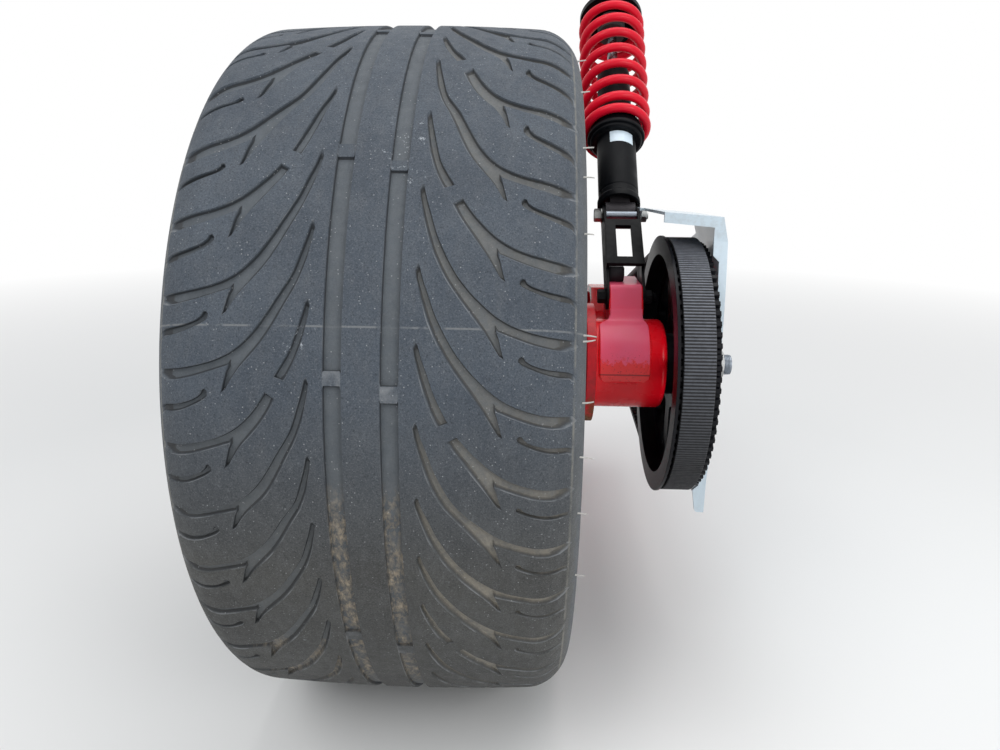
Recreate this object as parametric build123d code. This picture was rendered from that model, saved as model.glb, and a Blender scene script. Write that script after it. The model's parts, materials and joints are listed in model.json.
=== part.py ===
from build123d import *
from math import acos, asin, atan2, cos, degrees, hypot, pi, radians, sin, sqrt
import os

# Rear wheel and drive side swingarm of a three wheeled car, in millimetres.
# X to the right, Y forward, Z up. The origin is on the swingarm's pivot axis, in the tyre's centre plane.

# Place of the axle, seen from the pivot
ARM_LENGTH = 480.0
AXLE_RISE = 60.0

# Tyre and rim
TYRE_RADIUS = 345.5
TYRE_HALF_WIDTH = 158.2
CROWN_DROP = 6.0
SHOULDER_RADIUS = 38.2
TREAD_THICKNESS = 13.0
GROOVE_COUNT = 38
GROOVE_DEPTH = 3.4
GROOVE_WIDTH = 5.4
# Angles of the first grooves, whose pitch varies; the rest are even
UNEVEN_GROOVES = (64.6, 52.8, 41.2, 31.4, 21.9, 12.8, 3.6, -4.9, -13.4, -21.5, -31.0)
# x and distance down the tread of a groove's bends, for a pitch of GROOVE_BEND_PITCH
GROOVE_BENDS = ((37, 0), (60, 55), (90, 87), (150, 101))
GROOVE_BEND_PITCH = 51.0
RIB_HALF_WIDTH = 13.8
RIB_GROOVE_WIDTH = 12.6
SIDEWALL_THICKNESS = 9.0
BEAD_SEAT_RADIUS = 254.0
RIM_HALF_WIDTH = 139.7
RIM_FLANGE_HEIGHT = 17.5
RIM_FLANGE_LIP = 11.0
RIM_WALL = 6.0
RIM_DROP = 18.0
BEAD_GAP = 0.3
SPOKE_COUNT = 10
SPOKE_WIDTH = 27.0
SPOKE_DEPTH = 22.0
SPOKE_ROOT = 14.0
SPOKE_CORNER = 7.0
SPOKE_WINDOW_EDGE = 6.0
PAD_RADIUS = 84.0
PAD_THICKNESS = 14.0
HUB_BORE_RADIUS = 34.0
VALVE_INSET = 9.0

# Hub, axle and wheel bolts
MOUNT_FACE_X = 54.0
HAT_THICKNESS = 7.0
HUB_FLANGE_RADIUS = 70.0
HUB_FLANGE_THICKNESS = 13.0
AXLE_RADIUS = 20.0
THREAD_RADIUS = 11.0
THREAD_END_X = 340.0
STUD_COUNT = 5
STUD_CIRCLE_RADIUS = 57.15
STUD_RADIUS = 6.0
STUD_STICKOUT = 20.0
LUG_NUT_HEIGHT = 17.0
LUG_NUT_ACROSS_FLATS = 19.0
AXLE_NUT_ACROSS_FLATS = 30.0
AXLE_NUT_HEIGHT = 21.0
AXLE_WASHER_RADIUS = 20.5
AXLE_WASHER_THICKNESS = 3.0
RUNNING_GAP = 0.3

# Hub housing on the arm
HOUSING_LEFT_X = 160.0
HOUSING_RIGHT_X = 263.0
HOUSING_RADIUS = 49.5
HOUSING_CHAMFER = 3.0
HOUSING_ROUND = 7.0
BEARING_RADIUS = 31.0
BEARING_WIDTH = 20.0
CARRIER_LEFT_X = 176.0
CARRIER_RADIUS = 66.0
CARRIER_THICKNESS = 10.0

# Brake
DISC_LEFT_X = 96.0
DISC_THICKNESS = 8.0
DISC_RADIUS = 149.0
DISC_BAND = 42.0
HAT_RADIUS = 82.0
PAD_BRAKE_THICKNESS = 9.6
PAD_GAP = 0.4
CALIPER_WALL = 16.0
CALIPER_LENGTH = 120.0
CALIPER_TOP = 25.0
CALIPER_ANGLE = 50.0

# Belt drive
TOOTH_PITCH = 11.0
DRIVEN_TEETH = 78
DRIVE_TEETH = 32
TOOTH_HEIGHT = 4.2
PITCH_LINE_OVER_TIP = 1.3
PULLEY_LEFT_X = 258.5
PULLEY_RIGHT_X = 299.0
PULLEY_FLANGE_THICKNESS = 3.0
PULLEY_FLANGE_HEIGHT = 1.5
PULLEY_RING = 10.0
PULLEY_BOSS_RADIUS = 34.0
PULLEY_WEB_X = 274.0
PULLEY_WEB_THICKNESS = 8.0
PULLEY_WINDOWS = 7
PULLEY_SPOKE_WIDTH = 22.0
PULLEY_SPOKE_ROOT = 16.0
PULLEY_SPOKE_EDGE = 12.0
BELT_LEFT_X = 261.7
BELT_RIGHT_X = 292.5
BELT_THICKNESS = 4.3
BELT_GAP = 0.4

# Arm and pivot
BEAM_LEFT_X = 190.0
BEAM_RIGHT_X = 246.0
BEAM_TOP_Z = 66.0
BEAM_SEAT_Z = 42.0
BEAM_BOTTOM_Z = -42.0
BEAM_WEB = 14.0
BEAM_EDGE = 9.0
PIVOT_RADIUS = 38.0
PIVOT_LEFT_X = -130.0
PIVOT_BORE_RADIUS = 10.2
PIVOT_INNER_RADIUS = 28.0
PIVOT_END_WALL = 40.0
SHOULDER_X = 252.0
SPIGOT_RADIUS = 20.0
SPIGOT_END_X = 306.0
BRACE_THICKNESS = 34.0
BRACE_REACH = 112.0
BRACE_CLEAR = 30.0
BRACE_SLOPE_X = 40.0
BRACE_SLOPE_REACH = 96.0
BRACE_END_REACH = 46.0

# Shock mount on the arm
TAB_CENTRE_X = 221.0
TAB_WIDTH = 35.6
TAB_TOP_Z = 86.5
TAB_FRONT_Y = 80.0
STRAP_THICKNESS = 3.0
STRAP_WIDTH = 45.0
LOWER_BOLT_Y = 16.0
LOWER_BOLT_Z = 72.5
CLEVIS_BOLT_Y = 116.5
CLEVIS_BOLT_Z = 153.0
EAR_THICKNESS = 3.0
EAR_GAP = 0.3
EAR_RADIUS_LOW = 15.0
EAR_RADIUS_HIGH = 12.0
RISER_WEB_OFFSET = 24.0
RISER_WEB_THICKNESS = 5.0
RISER_WEB_START = 28.0
RISER_WEB_END = 98.5
RISER_WINDOW_LENGTH = 49.0
RISER_WINDOW_WIDTH = 17.5
SPACER_RADIUS = 4.7
SPACER_GAP = 0.6
SPACER_ANGLE = 135.0
SPACER_EAR_EDGE = 1.5
BOLT_RADIUS = 4.7
BOLT_FIT = 0.1
BOLT_HEAD_ACROSS_FLATS = 14.0
BOLT_HEAD_HEIGHT = 8.0
BOLT_WASHER_RADIUS = 9.0
BOLT_WASHER_THICKNESS = 1.5
BOLT_NUT_HEIGHT = 7.0
BOLT_STICKOUT = 2.0

# Shock, measured from its lower eye along its own axis
SHOCK_LEAN = 43.4
SHOCK_LENGTH = 385.0
EYE_RADIUS = 16.0
EYE_SIDE_GAP = 0.3
EYE_WIDTH = TAB_WIDTH + 2 * (EAR_GAP - EYE_SIDE_GAP)
EYE_BORE_RADIUS = 8.0
BODY_START = 24.0
BODY_END = 240.0
BODY_RADIUS = 24.5
BODY_NECK_RADIUS = 21.5
SKIRT_START = 13.0
SKIRT_END = 20.5
SKIRT_RADIUS = 26.0
SKIRT_INNER_RADIUS = 22.5
PERCH_START = 115.0
PERCH_THICKNESS = 25.0
PERCH_RADIUS = 33.0
PERCH_FLANGE_START = 119.7
PERCH_FLANGE_THICKNESS = 6.0
PERCH_FLANGE_RADIUS = 36.5
WIRE_DIAMETER = 11.5
COIL_RADIUS = 39.5
COIL_PITCH = 29.0
CLOSED_TURNS = 0.97
CLOSED_GAP = 0.2
COIL_SEAT_GAP = 0.3
TOP_NECK = 18.6
TOP_SEAT_THICKNESS = 8.0
ROD_RADIUS = 7.0
BUMP_STOP_LENGTH = 26.0
BUMP_STOP_RADIUS = 19.0

# Belt guard
GUARD_RIGHT_X = 312.0
GUARD_THICKNESS = 3.0
GUARD_REAR_Y = -55.0
GUARD_REAR_BOW = 14.0
GUARD_KINK_Z = 143.0
GUARD_TOP_Z = 167.0
GUARD_TOP_RIGHT_X = 306.3
GUARD_TIP_Z = -155.5
GUARD_TIP_ROUND = 5.0
GUARD_LIP = 14.0
GUARD_LIP_CLEARANCE = 5.0
GUARD_TOP_LEFT_X = 247.5
GUARD_TOP_RISE = 4.4
GUARD_TOP_LENGTH = 143.0
GUARD_FALL = 0.05
GUARD_TOP_LIP = 10.3
GUARD_TONGUE = 12.0
GUARD_LUG_RADIUS = 10.0
GUARD_FRONT_RADIUS = 76.0
NUT_HOLE_RADIUS = 26.0
COUPLING_HOLE_RADIUS = 50.0
STANDOFF_RADIUS = 8.0
REAR_POST_Y = 183.0
REAR_POST_Z = 2.0
FRONT_POST_BEHIND_PIVOT = 97.0
FRONT_POST_OVER_PIVOT = 30.0

# Coupling on the drive pulley
COUPLING_HOLES = 6
COUPLING_CIRCLE_RADIUS = 41.0
COUPLING_HOLE_R = 3.4

AXLE = Pos(0, -ARM_LENGTH, AXLE_RISE)
PIVOT_FROM_AXLE = (ARM_LENGTH, -AXLE_RISE)


def turned(points):
    """Solid turned about the X axis from (x, radius) points."""
    profile = make_face(Polyline(*[(x, 0, r) for x, r in points], close=True))
    return revolve(profile, Axis.X)


def ring(x0, x1, outer, inner=0.0):
    return turned([(x0, inner), (x1, inner), (x1, outer), (x0, outer)])


def flat(points):
    """Face in the side view from (y, z) points."""
    return make_face(Polyline(*points, close=True))


def slab(face, x0, x1):
    """A side view face given its thickness along X."""
    return Pos(x0, 0, 0) * extrude(Plane.YZ * face, amount=x1 - x0)


def block(x, y, z):
    """Box from (low, high) pairs."""
    centre = [(low + high) / 2 for low, high in (x, y, z)]
    return Pos(*centre) * Box(x[1] - x[0], y[1] - y[0], z[1] - z[0])


def hexagon(x0, x1, across_flats):
    return slab(RegularPolygon(across_flats / 2, 6, major_radius=False), x0, x1)


def around(count, radius, start=0.0):
    """Places on a circle about the X axis."""
    return [Rot(start + 360 / count * i, 0, 0) * Pos(0, 0, radius) for i in range(count)]


def tread_radius(x):
    """Height of the tyre's outer surface above its axle at x from the centre plane."""
    edge = max(0.0, (abs(x) - (TYRE_HALF_WIDTH - SHOULDER_RADIUS)) / SHOULDER_RADIUS)
    crown = CROWN_DROP * (x / TYRE_HALF_WIDTH) ** 2
    return TYRE_RADIUS - crown - SHOULDER_RADIUS * (1 - sqrt(max(0.0, 1 - edge**2)))


def carcass():
    """Tyre before its grooves are cut, with two grooves round it beside the middle rib."""
    flange_top = BEAD_SEAT_RADIUS + RIM_FLANGE_HEIGHT
    bead_x = RIM_HALF_WIDTH - BEAD_GAP
    rib_end = RIB_HALF_WIDTH + RIB_GROOVE_WIDTH
    middle = [(x, tread_radius(x) - depth) for x, depth in (
        (RIB_HALF_WIDTH, 0), (RIB_HALF_WIDTH, GROOVE_DEPTH), (rib_end, GROOVE_DEPTH), (rib_end, 0))]
    # shares of the half width at which the crown bends
    shares = (0.757, 0.87, 0.955, 1.0)
    crown = [(s * TYRE_HALF_WIDTH, tread_radius(s * TYRE_HALF_WIDTH)) for s in shares]
    lower = [
        (RIM_HALF_WIDTH + RIM_FLANGE_LIP + 4, flange_top + 6),
        (bead_x, flange_top - 4),
        (bead_x, BEAD_SEAT_RADIUS + BEAD_GAP),
        (bead_x - 20, BEAD_SEAT_RADIUS + BEAD_GAP),
        (TYRE_HALF_WIDTH - SIDEWALL_THICKNESS, TYRE_RADIUS - SHOULDER_RADIUS - 4),
        (TYRE_HALF_WIDTH - SHOULDER_RADIUS, TYRE_RADIUS - TREAD_THICKNESS - 4),
    ]
    right = middle + crown + lower
    left = [(-x, r) for x, r in reversed(right)]
    return turned(right + left)


def groove_angles():
    """Angle of each groove's inner end above the rear horizontal, in degrees, going down the tread."""
    left = GROOVE_COUNT - len(UNEVEN_GROOVES)
    last = UNEVEN_GROOVES[-1]
    step = (last - UNEVEN_GROOVES[0] + 360) / (left + 1)
    return list(UNEVEN_GROOVES) + [last - step * (i + 1) for i in range(left)]


def groove_angle(turn):
    """Angle after so many pitches down the tread from the first groove's inner end."""
    angles = groove_angles()
    whole = int(turn // 1)
    a, b = (angles[i % GROOVE_COUNT] - 360 * (i // GROOVE_COUNT) for i in (whole, whole + 1))
    return a + (b - a) * (turn - whole)


def groove_slots(turn, side):
    """Slots of one bent groove from the middle out to the shoulder; side is 1 right and -1 left."""
    slots = []
    for (x0, down0), (x1, down1) in zip(GROOVE_BENDS, GROOVE_BENDS[1:]):
        middle, half = (x0 + x1) / 2, (x1 - x0) / 2
        lean = atan2(down1 - down0, x1 - x0)
        shares = (-1, 1) if x1 < TYRE_HALF_WIDTH - SHOULDER_RADIUS else (-1, 0, 0.6, 1)
        floor = [(share * half / cos(lean), tread_radius(middle + share * half) - GROOVE_DEPTH)
                 for share in shares]
        top = [(end[0], TYRE_RADIUS + 2) for end in (floor[-1], floor[0])]
        section = make_face(Polyline(*floor, *top, close=True))
        slot = Rot(0, 0, -degrees(lean)) * extrude(Plane.XZ * section, amount=GROOVE_WIDTH / 2, both=True)
        angle = groove_angle(turn + (down0 + down1) / 2 / GROOVE_BEND_PITCH)
        slot = Rot(90 - angle, 0, 0) * (Pos(middle, 0, 0) * slot)
        slots.append(slot if side > 0 else mirror(slot, Plane.YZ))
    return slots


def tyre():
    slots = []
    for i in range(GROOVE_COUNT):
        slots += groove_slots(i, -1) + groove_slots(i + 0.5, 1)
    return carcass() - slots


def rim_barrel():
    seat, half, wall = BEAD_SEAT_RADIUS, RIM_HALF_WIDTH, RIM_WALL
    top, lip = seat + RIM_FLANGE_HEIGHT, RIM_FLANGE_LIP
    outer = [
        (-half - lip, top), (-half, seat), (-half + 34, seat), (-half + 44, seat - RIM_DROP),
        (half - 30, seat - 4), (half, seat), (half + lip, top),
    ]
    inner = [
        (half + lip, top - wall), (half + 3, seat - wall), (half - 30, seat - wall - 4),
        (-half + 42, seat - RIM_DROP - wall), (-half - 3, seat - wall), (-half - lip, top - wall),
    ]
    return turned(outer + inner)


def spoke_dish():
    """Dish from the mounting pad to the left edge of the barrel, before the windows are cut."""
    face_x = MOUNT_FACE_X - PAD_THICKNESS
    reach = BEAD_SEAT_RADIUS - RIM_DROP - RIM_WALL / 2
    front = [(face_x, HUB_BORE_RADIUS), (face_x, PAD_RADIUS - 4), (4, 130), (-64, 196), (-122, reach)]
    back = [(-122 + SPOKE_DEPTH, reach), (-64 + SPOKE_DEPTH + 2, 203), (4 + SPOKE_DEPTH + 4, 134),
            (MOUNT_FACE_X, PAD_RADIUS), (MOUNT_FACE_X, HUB_BORE_RADIUS)]
    return turned(front + back)


def spoke_opening(inner, outer, count, width, corner):
    """Rounded opening between two parallel sided spokes, centred on straight up."""
    corners = []
    for radius, side in ((inner, -1), (outer, -1), (outer, 1), (inner, 1)):
        angle = side * (pi / count - asin(width / 2 / radius))
        corners.append((radius * sin(angle), radius * cos(angle)))
    return fillet(flat(corners).vertices(), corner)


def rim():
    wheel = rim_barrel() + spoke_dish()
    half_turn = 180 / SPOKE_COUNT
    reach = BEAD_SEAT_RADIUS - RIM_DROP - RIM_WALL - SPOKE_WINDOW_EDGE
    opening = spoke_opening(PAD_RADIUS + SPOKE_ROOT, reach, SPOKE_COUNT, SPOKE_WIDTH, SPOKE_CORNER)
    window = slab(opening, -RIM_HALF_WIDTH, RIM_HALF_WIDTH)
    wheel -= [Rot(half_turn + 2 * half_turn * i, 0, 0) * window for i in range(SPOKE_COUNT)]
    drill = ring(-STUD_STICKOUT, 2 * MOUNT_FACE_X, STUD_RADIUS + RUNNING_GAP)
    wheel -= [place * drill for place in around(STUD_COUNT, STUD_CIRCLE_RADIUS)]
    return wheel


def axle_shaft():
    flange_x = MOUNT_FACE_X + HAT_THICKNESS
    pilot = HUB_BORE_RADIUS - RUNNING_GAP
    boss_end = PULLEY_RIGHT_X + 8
    shaft = turned([
        (MOUNT_FACE_X - PAD_THICKNESS + 4, 0), (MOUNT_FACE_X - PAD_THICKNESS + 4, pilot),
        (flange_x, pilot), (flange_x, HUB_FLANGE_RADIUS),
        (flange_x + HUB_FLANGE_THICKNESS, HUB_FLANGE_RADIUS),
        (flange_x + HUB_FLANGE_THICKNESS, 42), (flange_x + 3 * HUB_FLANGE_THICKNESS, 27),
        (HOUSING_LEFT_X - 6, 27), (HOUSING_LEFT_X - 6, AXLE_RADIUS),
        (boss_end, AXLE_RADIUS), (boss_end, THREAD_RADIUS),
        (THREAD_END_X, THREAD_RADIUS), (THREAD_END_X, 0),
    ])
    seat = ring(MOUNT_FACE_X, flange_x + HUB_FLANGE_THICKNESS + 1, STUD_RADIUS)
    return shaft - [place * seat for place in around(STUD_COUNT, STUD_CIRCLE_RADIUS)]


def wheel_studs():
    end = MOUNT_FACE_X + HAT_THICKNESS + HUB_FLANGE_THICKNESS
    start = MOUNT_FACE_X - PAD_THICKNESS - STUD_STICKOUT
    stud = ring(start, end, STUD_RADIUS)
    return Compound([place * stud for place in around(STUD_COUNT, STUD_CIRCLE_RADIUS)])


def lug_nuts():
    seat_x = MOUNT_FACE_X - PAD_THICKNESS
    nut = hexagon(seat_x - LUG_NUT_HEIGHT, seat_x, LUG_NUT_ACROSS_FLATS)
    nut -= ring(seat_x - LUG_NUT_HEIGHT, seat_x, STUD_RADIUS)
    return Compound([place * nut for place in around(STUD_COUNT, STUD_CIRCLE_RADIUS)])


def centre_cap():
    face_x = MOUNT_FACE_X - PAD_THICKNESS
    return turned([(face_x - 4, 0), (face_x - 4, 24), (face_x - 1, HUB_BORE_RADIUS - RUNNING_GAP),
                   (face_x + 4, HUB_BORE_RADIUS - RUNNING_GAP), (face_x + 4, 0)])


def valve_stem():
    base = BEAD_SEAT_RADIUS - RIM_DROP + RIM_WALL - 0.6
    stem = Pos(0, 0, base - 13) * Cylinder(4, 26) + Pos(0, 0, base - 29) * Cylinder(5, 8)
    return Rot(180 / SPOKE_COUNT, 0, 0) * Pos(-RIM_HALF_WIDTH + VALVE_INSET, 0, 0) * stem


def brake_disc():
    right = DISC_LEFT_X + DISC_THICKNESS
    disc = turned([
        (MOUNT_FACE_X, HUB_BORE_RADIUS), (MOUNT_FACE_X, HAT_RADIUS), (DISC_LEFT_X, HAT_RADIUS),
        (DISC_LEFT_X, DISC_RADIUS), (right, DISC_RADIUS), (right, HAT_RADIUS - 6),
        (MOUNT_FACE_X + HAT_THICKNESS, HAT_RADIUS - 6), (MOUNT_FACE_X + HAT_THICKNESS, HUB_BORE_RADIUS),
    ])
    drill = ring(MOUNT_FACE_X, MOUNT_FACE_X + HAT_THICKNESS, STUD_RADIUS + RUNNING_GAP)
    return disc - [place * drill for place in around(STUD_COUNT, STUD_CIRCLE_RADIUS)]


def pad_faces():
    """Outer faces of the two brake pads along X."""
    reach = PAD_GAP + PAD_BRAKE_THICKNESS
    return DISC_LEFT_X - reach, DISC_LEFT_X + DISC_THICKNESS + reach


def brake_pads():
    low, high = DISC_RADIUS - DISC_BAND + 4, DISC_RADIUS - 2
    left, right = pad_faces()
    span = (-CALIPER_LENGTH / 2 + 14, CALIPER_LENGTH / 2 - 14)
    pads = [block((left, left + PAD_BRAKE_THICKNESS), span, (low, high)),
            block((right - PAD_BRAKE_THICKNESS, right), span, (low, high))]
    return Rot(CALIPER_ANGLE - 90, 0, 0) * Compound(pads)


def brake_caliper():
    left, right = pad_faces()
    half = CALIPER_LENGTH / 2
    low, roof = DISC_RADIUS - DISC_BAND + 10, DISC_RADIUS + 3
    body = block((left - CALIPER_WALL, right + CALIPER_WALL), (-half, half), (low, roof + CALIPER_TOP))
    body = fillet(body.edges().filter_by(Axis.X), 12)
    body -= block((left, right), (-half - 1, half + 1), (low - 1, roof))
    body -= block((left - 1, right + 1), (-14, 14), (roof - 1, roof + CALIPER_TOP + 1))
    return Rot(CALIPER_ANGLE - 90, 0, 0) * body


def caliper_bracket():
    start = pad_faces()[1] + CALIPER_WALL
    low, high = HOUSING_RADIUS + 0.5, DISC_RADIUS + 10
    plate = block((start, start + 10), (-38, 38), (low, high))
    foot = block((start, CARRIER_LEFT_X), (-26, 26), (low, CARRIER_RADIUS + 8))
    return Rot(CALIPER_ANGLE - 90, 0, 0) * (plate + foot)


def outer_rims(shell):
    """Outer circles of the housing from left to right."""
    circles = shell.edges().filter_by(GeomType.CIRCLE).filter_by(lambda e: e.radius > HOUSING_RADIUS - 1)
    return circles.sort_by(Axis.X)


def hub_housing():
    shell = ring(HOUSING_LEFT_X, HOUSING_RIGHT_X, HOUSING_RADIUS, BEARING_RADIUS)
    shell = chamfer(outer_rims(shell)[0], HOUSING_CHAMFER)
    return fillet(outer_rims(shell)[-1], HOUSING_ROUND)


def bearing_carrier():
    return ring(CARRIER_LEFT_X, CARRIER_LEFT_X + CARRIER_THICKNESS, CARRIER_RADIUS, HOUSING_RADIUS)


def hub_bearings():
    inner = AXLE_RADIUS + RUNNING_GAP
    left = ring(HOUSING_LEFT_X, HOUSING_LEFT_X + BEARING_WIDTH, BEARING_RADIUS, inner)
    right = ring(HOUSING_RIGHT_X - BEARING_WIDTH, HOUSING_RIGHT_X, BEARING_RADIUS, inner)
    return Compound([left, right])


def pulley_radii(teeth):
    """Tip and root radius of a pulley."""
    tip = teeth * TOOTH_PITCH / (2 * pi) - PITCH_LINE_OVER_TIP
    return tip, tip - TOOTH_HEIGHT


def toothed_face(teeth):
    """Outline of a pulley's teeth, each a trapezoid."""
    tip, root = pulley_radii(teeth)
    pitch = 2 * pi / teeth
    # radius, share of the pitch from the tooth's middle
    corners = ((root, -0.34), (tip, -0.2), (tip, 0.2), (root, 0.34))
    points = [(r * cos((i + s) * pitch), r * sin((i + s) * pitch)) for i in range(teeth) for r, s in corners]
    return flat(points)


def pulley_ring(teeth, inner):
    rim_ring = slab(toothed_face(teeth), PULLEY_LEFT_X, PULLEY_RIGHT_X)
    return rim_ring - ring(PULLEY_LEFT_X - 1, PULLEY_RIGHT_X + 1, inner)


def flange_radius(teeth):
    return pulley_radii(teeth)[0] + BELT_GAP + BELT_THICKNESS + PULLEY_FLANGE_HEIGHT


def driven_pulley():
    root = pulley_radii(DRIVEN_TEETH)[1]
    inner = root - PULLEY_RING
    pulley = pulley_ring(DRIVEN_TEETH, inner)
    flange_x = PULLEY_LEFT_X - PULLEY_FLANGE_THICKNESS
    pulley += ring(flange_x, PULLEY_LEFT_X, flange_radius(DRIVEN_TEETH), inner)
    web_end = PULLEY_WEB_X + PULLEY_WEB_THICKNESS
    window = spoke_opening(PULLEY_BOSS_RADIUS + PULLEY_SPOKE_ROOT, inner - PULLEY_SPOKE_EDGE, PULLEY_WINDOWS,
                           PULLEY_SPOKE_WIDTH, SPOKE_CORNER)
    web = ring(PULLEY_WEB_X, web_end, inner, AXLE_RADIUS)
    cutter = slab(window, PULLEY_WEB_X - 1, web_end + 1)
    web -= [Rot(360 / PULLEY_WINDOWS * i, 0, 0) * cutter for i in range(PULLEY_WINDOWS)]
    boss = ring(HOUSING_RIGHT_X + RUNNING_GAP, PULLEY_RIGHT_X + 8, PULLEY_BOSS_RADIUS, AXLE_RADIUS)
    return pulley + web + boss


def axle_washer():
    start = PULLEY_RIGHT_X + 8
    return ring(start, start + AXLE_WASHER_THICKNESS, AXLE_WASHER_RADIUS, THREAD_RADIUS)


def axle_nut():
    start = PULLEY_RIGHT_X + 8 + AXLE_WASHER_THICKNESS
    nut = hexagon(start, start + AXLE_NUT_HEIGHT, AXLE_NUT_ACROSS_FLATS)
    return nut - ring(start, start + AXLE_NUT_HEIGHT, THREAD_RADIUS)


def drive_pulley():
    tip, root = pulley_radii(DRIVE_TEETH)
    bore = BEARING_RADIUS + RUNNING_GAP
    pulley = pulley_ring(DRIVE_TEETH, bore)
    edge = flange_radius(DRIVE_TEETH)
    pulley += ring(PULLEY_LEFT_X - PULLEY_FLANGE_THICKNESS, PULLEY_LEFT_X, edge, bore)
    drill = ring(PULLEY_RIGHT_X - 18, PULLEY_RIGHT_X + 1, COUPLING_HOLE_R)
    return pulley - [place * drill for place in around(COUPLING_HOLES, COUPLING_CIRCLE_RADIUS)]


def drive_bearing():
    return ring(SHOULDER_X, PULLEY_RIGHT_X - 4, BEARING_RADIUS, SPIGOT_RADIUS)


def spigot_collar():
    return ring(PULLEY_RIGHT_X - 4, PULLEY_RIGHT_X + 4, BEARING_RADIUS - 4, SPIGOT_RADIUS)


def loop_face(extra):
    """Filled outline of the belt's path, extra outside the pulleys' tips, seen from the axle."""
    big = Circle(pulley_radii(DRIVEN_TEETH)[0] + extra)
    small = Pos(*PIVOT_FROM_AXLE) * Circle(pulley_radii(DRIVE_TEETH)[0] + extra)
    return make_hull(big.edges() + small.edges())


def belt_run(side):
    """Start, unit direction and length of a free run's inner face; side is 1 above and -1 below."""
    r1 = pulley_radii(DRIVEN_TEETH)[0] + BELT_GAP
    r2 = pulley_radii(DRIVE_TEETH)[0] + BELT_GAP
    dy, dz = PIVOT_FROM_AXLE
    span = hypot(dy, dz)
    normal = atan2(dz, dy) + side * acos((r1 - r2) / span)
    start = (r1 * cos(normal), r1 * sin(normal))
    along = (side * sin(normal), -side * cos(normal))
    return start, along, sqrt(span**2 - (r1 - r2) ** 2), normal


def belt_teeth(side):
    """Teeth on a free run, well clear of both pulleys."""
    (y0, z0), (ay, az), length, normal = belt_run(side)
    height = TOOTH_HEIGHT - BELT_GAP
    first = sqrt(2 * pulley_radii(DRIVEN_TEETH)[0] * (height + 2))
    last = length - sqrt(2 * pulley_radii(DRIVE_TEETH)[0] * (height + 2))
    ny, nz = cos(normal), sin(normal)
    teeth = []
    for i in range(int((last - first) / TOOTH_PITCH)):
        middle = first + (i + 0.5) * TOOTH_PITCH
        # share of the pitch along the run, height towards the inside
        shape = ((-0.3, -1.0), (0.3, -1.0), (0.18, height), (-0.18, height))
        points = []
        for share, h in shape:
            along = middle + share * TOOTH_PITCH
            points.append((y0 + ay * along - ny * h, z0 + az * along - nz * h))
        teeth.append(slab(flat(points), BELT_LEFT_X, BELT_RIGHT_X))
    return teeth


def drive_belt():
    face = loop_face(BELT_GAP + BELT_THICKNESS) - loop_face(BELT_GAP)
    return slab(face, BELT_LEFT_X, BELT_RIGHT_X) + belt_teeth(1) + belt_teeth(-1)


def beam_outline(inset):
    """Side view of the arm from the housing to the pivot tube, seen from the axle."""
    py, pz = PIVOT_FROM_AXLE
    low, seat, high = BEAM_BOTTOM_Z + inset, BEAM_SEAT_Z - inset, BEAM_TOP_Z - inset
    ramp = TAB_FRONT_Y + 2 + inset / 2
    return flat([
        (0, low), (60, low - 14), (py, pz - PIVOT_RADIUS + inset + 2), (py, pz + PIVOT_RADIUS - inset - 2),
        (155, high - 4), (ramp + 26, high), (ramp, seat), (0, seat),
    ])


def swingarm_beam():
    beam = slab(beam_outline(0), BEAM_LEFT_X, BEAM_RIGHT_X)
    depth = (BEAM_RIGHT_X - BEAM_LEFT_X - BEAM_WEB) / 2
    # start and end of each cast pocket along Y
    pockets = ((118, 196), (206, 300), (310, 412))
    inner = beam_outline(BEAM_EDGE)
    for start, end in pockets:
        cell = inner & Pos((start + end) / 2, 0) * Rectangle(end - start, 400)
        cell = fillet(cell.vertices(), 8)
        beam -= slab(cell, BEAM_LEFT_X - 1, BEAM_LEFT_X + depth)
        beam -= slab(cell, BEAM_RIGHT_X - depth, BEAM_RIGHT_X + 1)
    beam -= ring(BEAM_LEFT_X - 1, BEAM_RIGHT_X + 1, HOUSING_RADIUS)
    return beam - Pos(0, *PIVOT_FROM_AXLE) * ring(BEAM_LEFT_X - 1, BEAM_RIGHT_X + 1, PIVOT_RADIUS)


def pivot_tube():
    shoulder = SHOULDER_X
    left, wall = PIVOT_LEFT_X, PIVOT_END_WALL
    return turned([
        (left, PIVOT_BORE_RADIUS), (left + wall, PIVOT_BORE_RADIUS), (left + wall, PIVOT_INNER_RADIUS),
        (shoulder - wall, PIVOT_INNER_RADIUS), (shoulder - wall, PIVOT_BORE_RADIUS),
        (SPIGOT_END_X, PIVOT_BORE_RADIUS), (SPIGOT_END_X, SPIGOT_RADIUS),
        (shoulder, SPIGOT_RADIUS), (shoulder, PIVOT_RADIUS), (left, PIVOT_RADIUS),
    ])


def arm_brace():
    """Web between the pivot tube and the arm, on the left, seen from the pivot."""
    left = PIVOT_LEFT_X + BRACE_CLEAR
    top = make_face(Polyline(
        (left, 0), (BEAM_LEFT_X, 0), (BEAM_LEFT_X, -BRACE_REACH),
        (BEAM_LEFT_X - BRACE_SLOPE_X, -BRACE_SLOPE_REACH), (left, -BRACE_END_REACH), close=True))
    web = Pos(0, 0, -BRACE_THICKNESS / 2) * extrude(top, amount=BRACE_THICKNESS)
    # distance left of the arm, behind the pivot, and radius of the lightening holes
    for across, behind, radius in ((40, 72, 17), (86, 62, 13), (124, 55, 9)):
        web -= Pos(BEAM_LEFT_X - across, -behind, 0) * Cylinder(radius, 2 * BRACE_THICKNESS)
    return web - ring(PIVOT_LEFT_X, BEAM_RIGHT_X, PIVOT_RADIUS)


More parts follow.
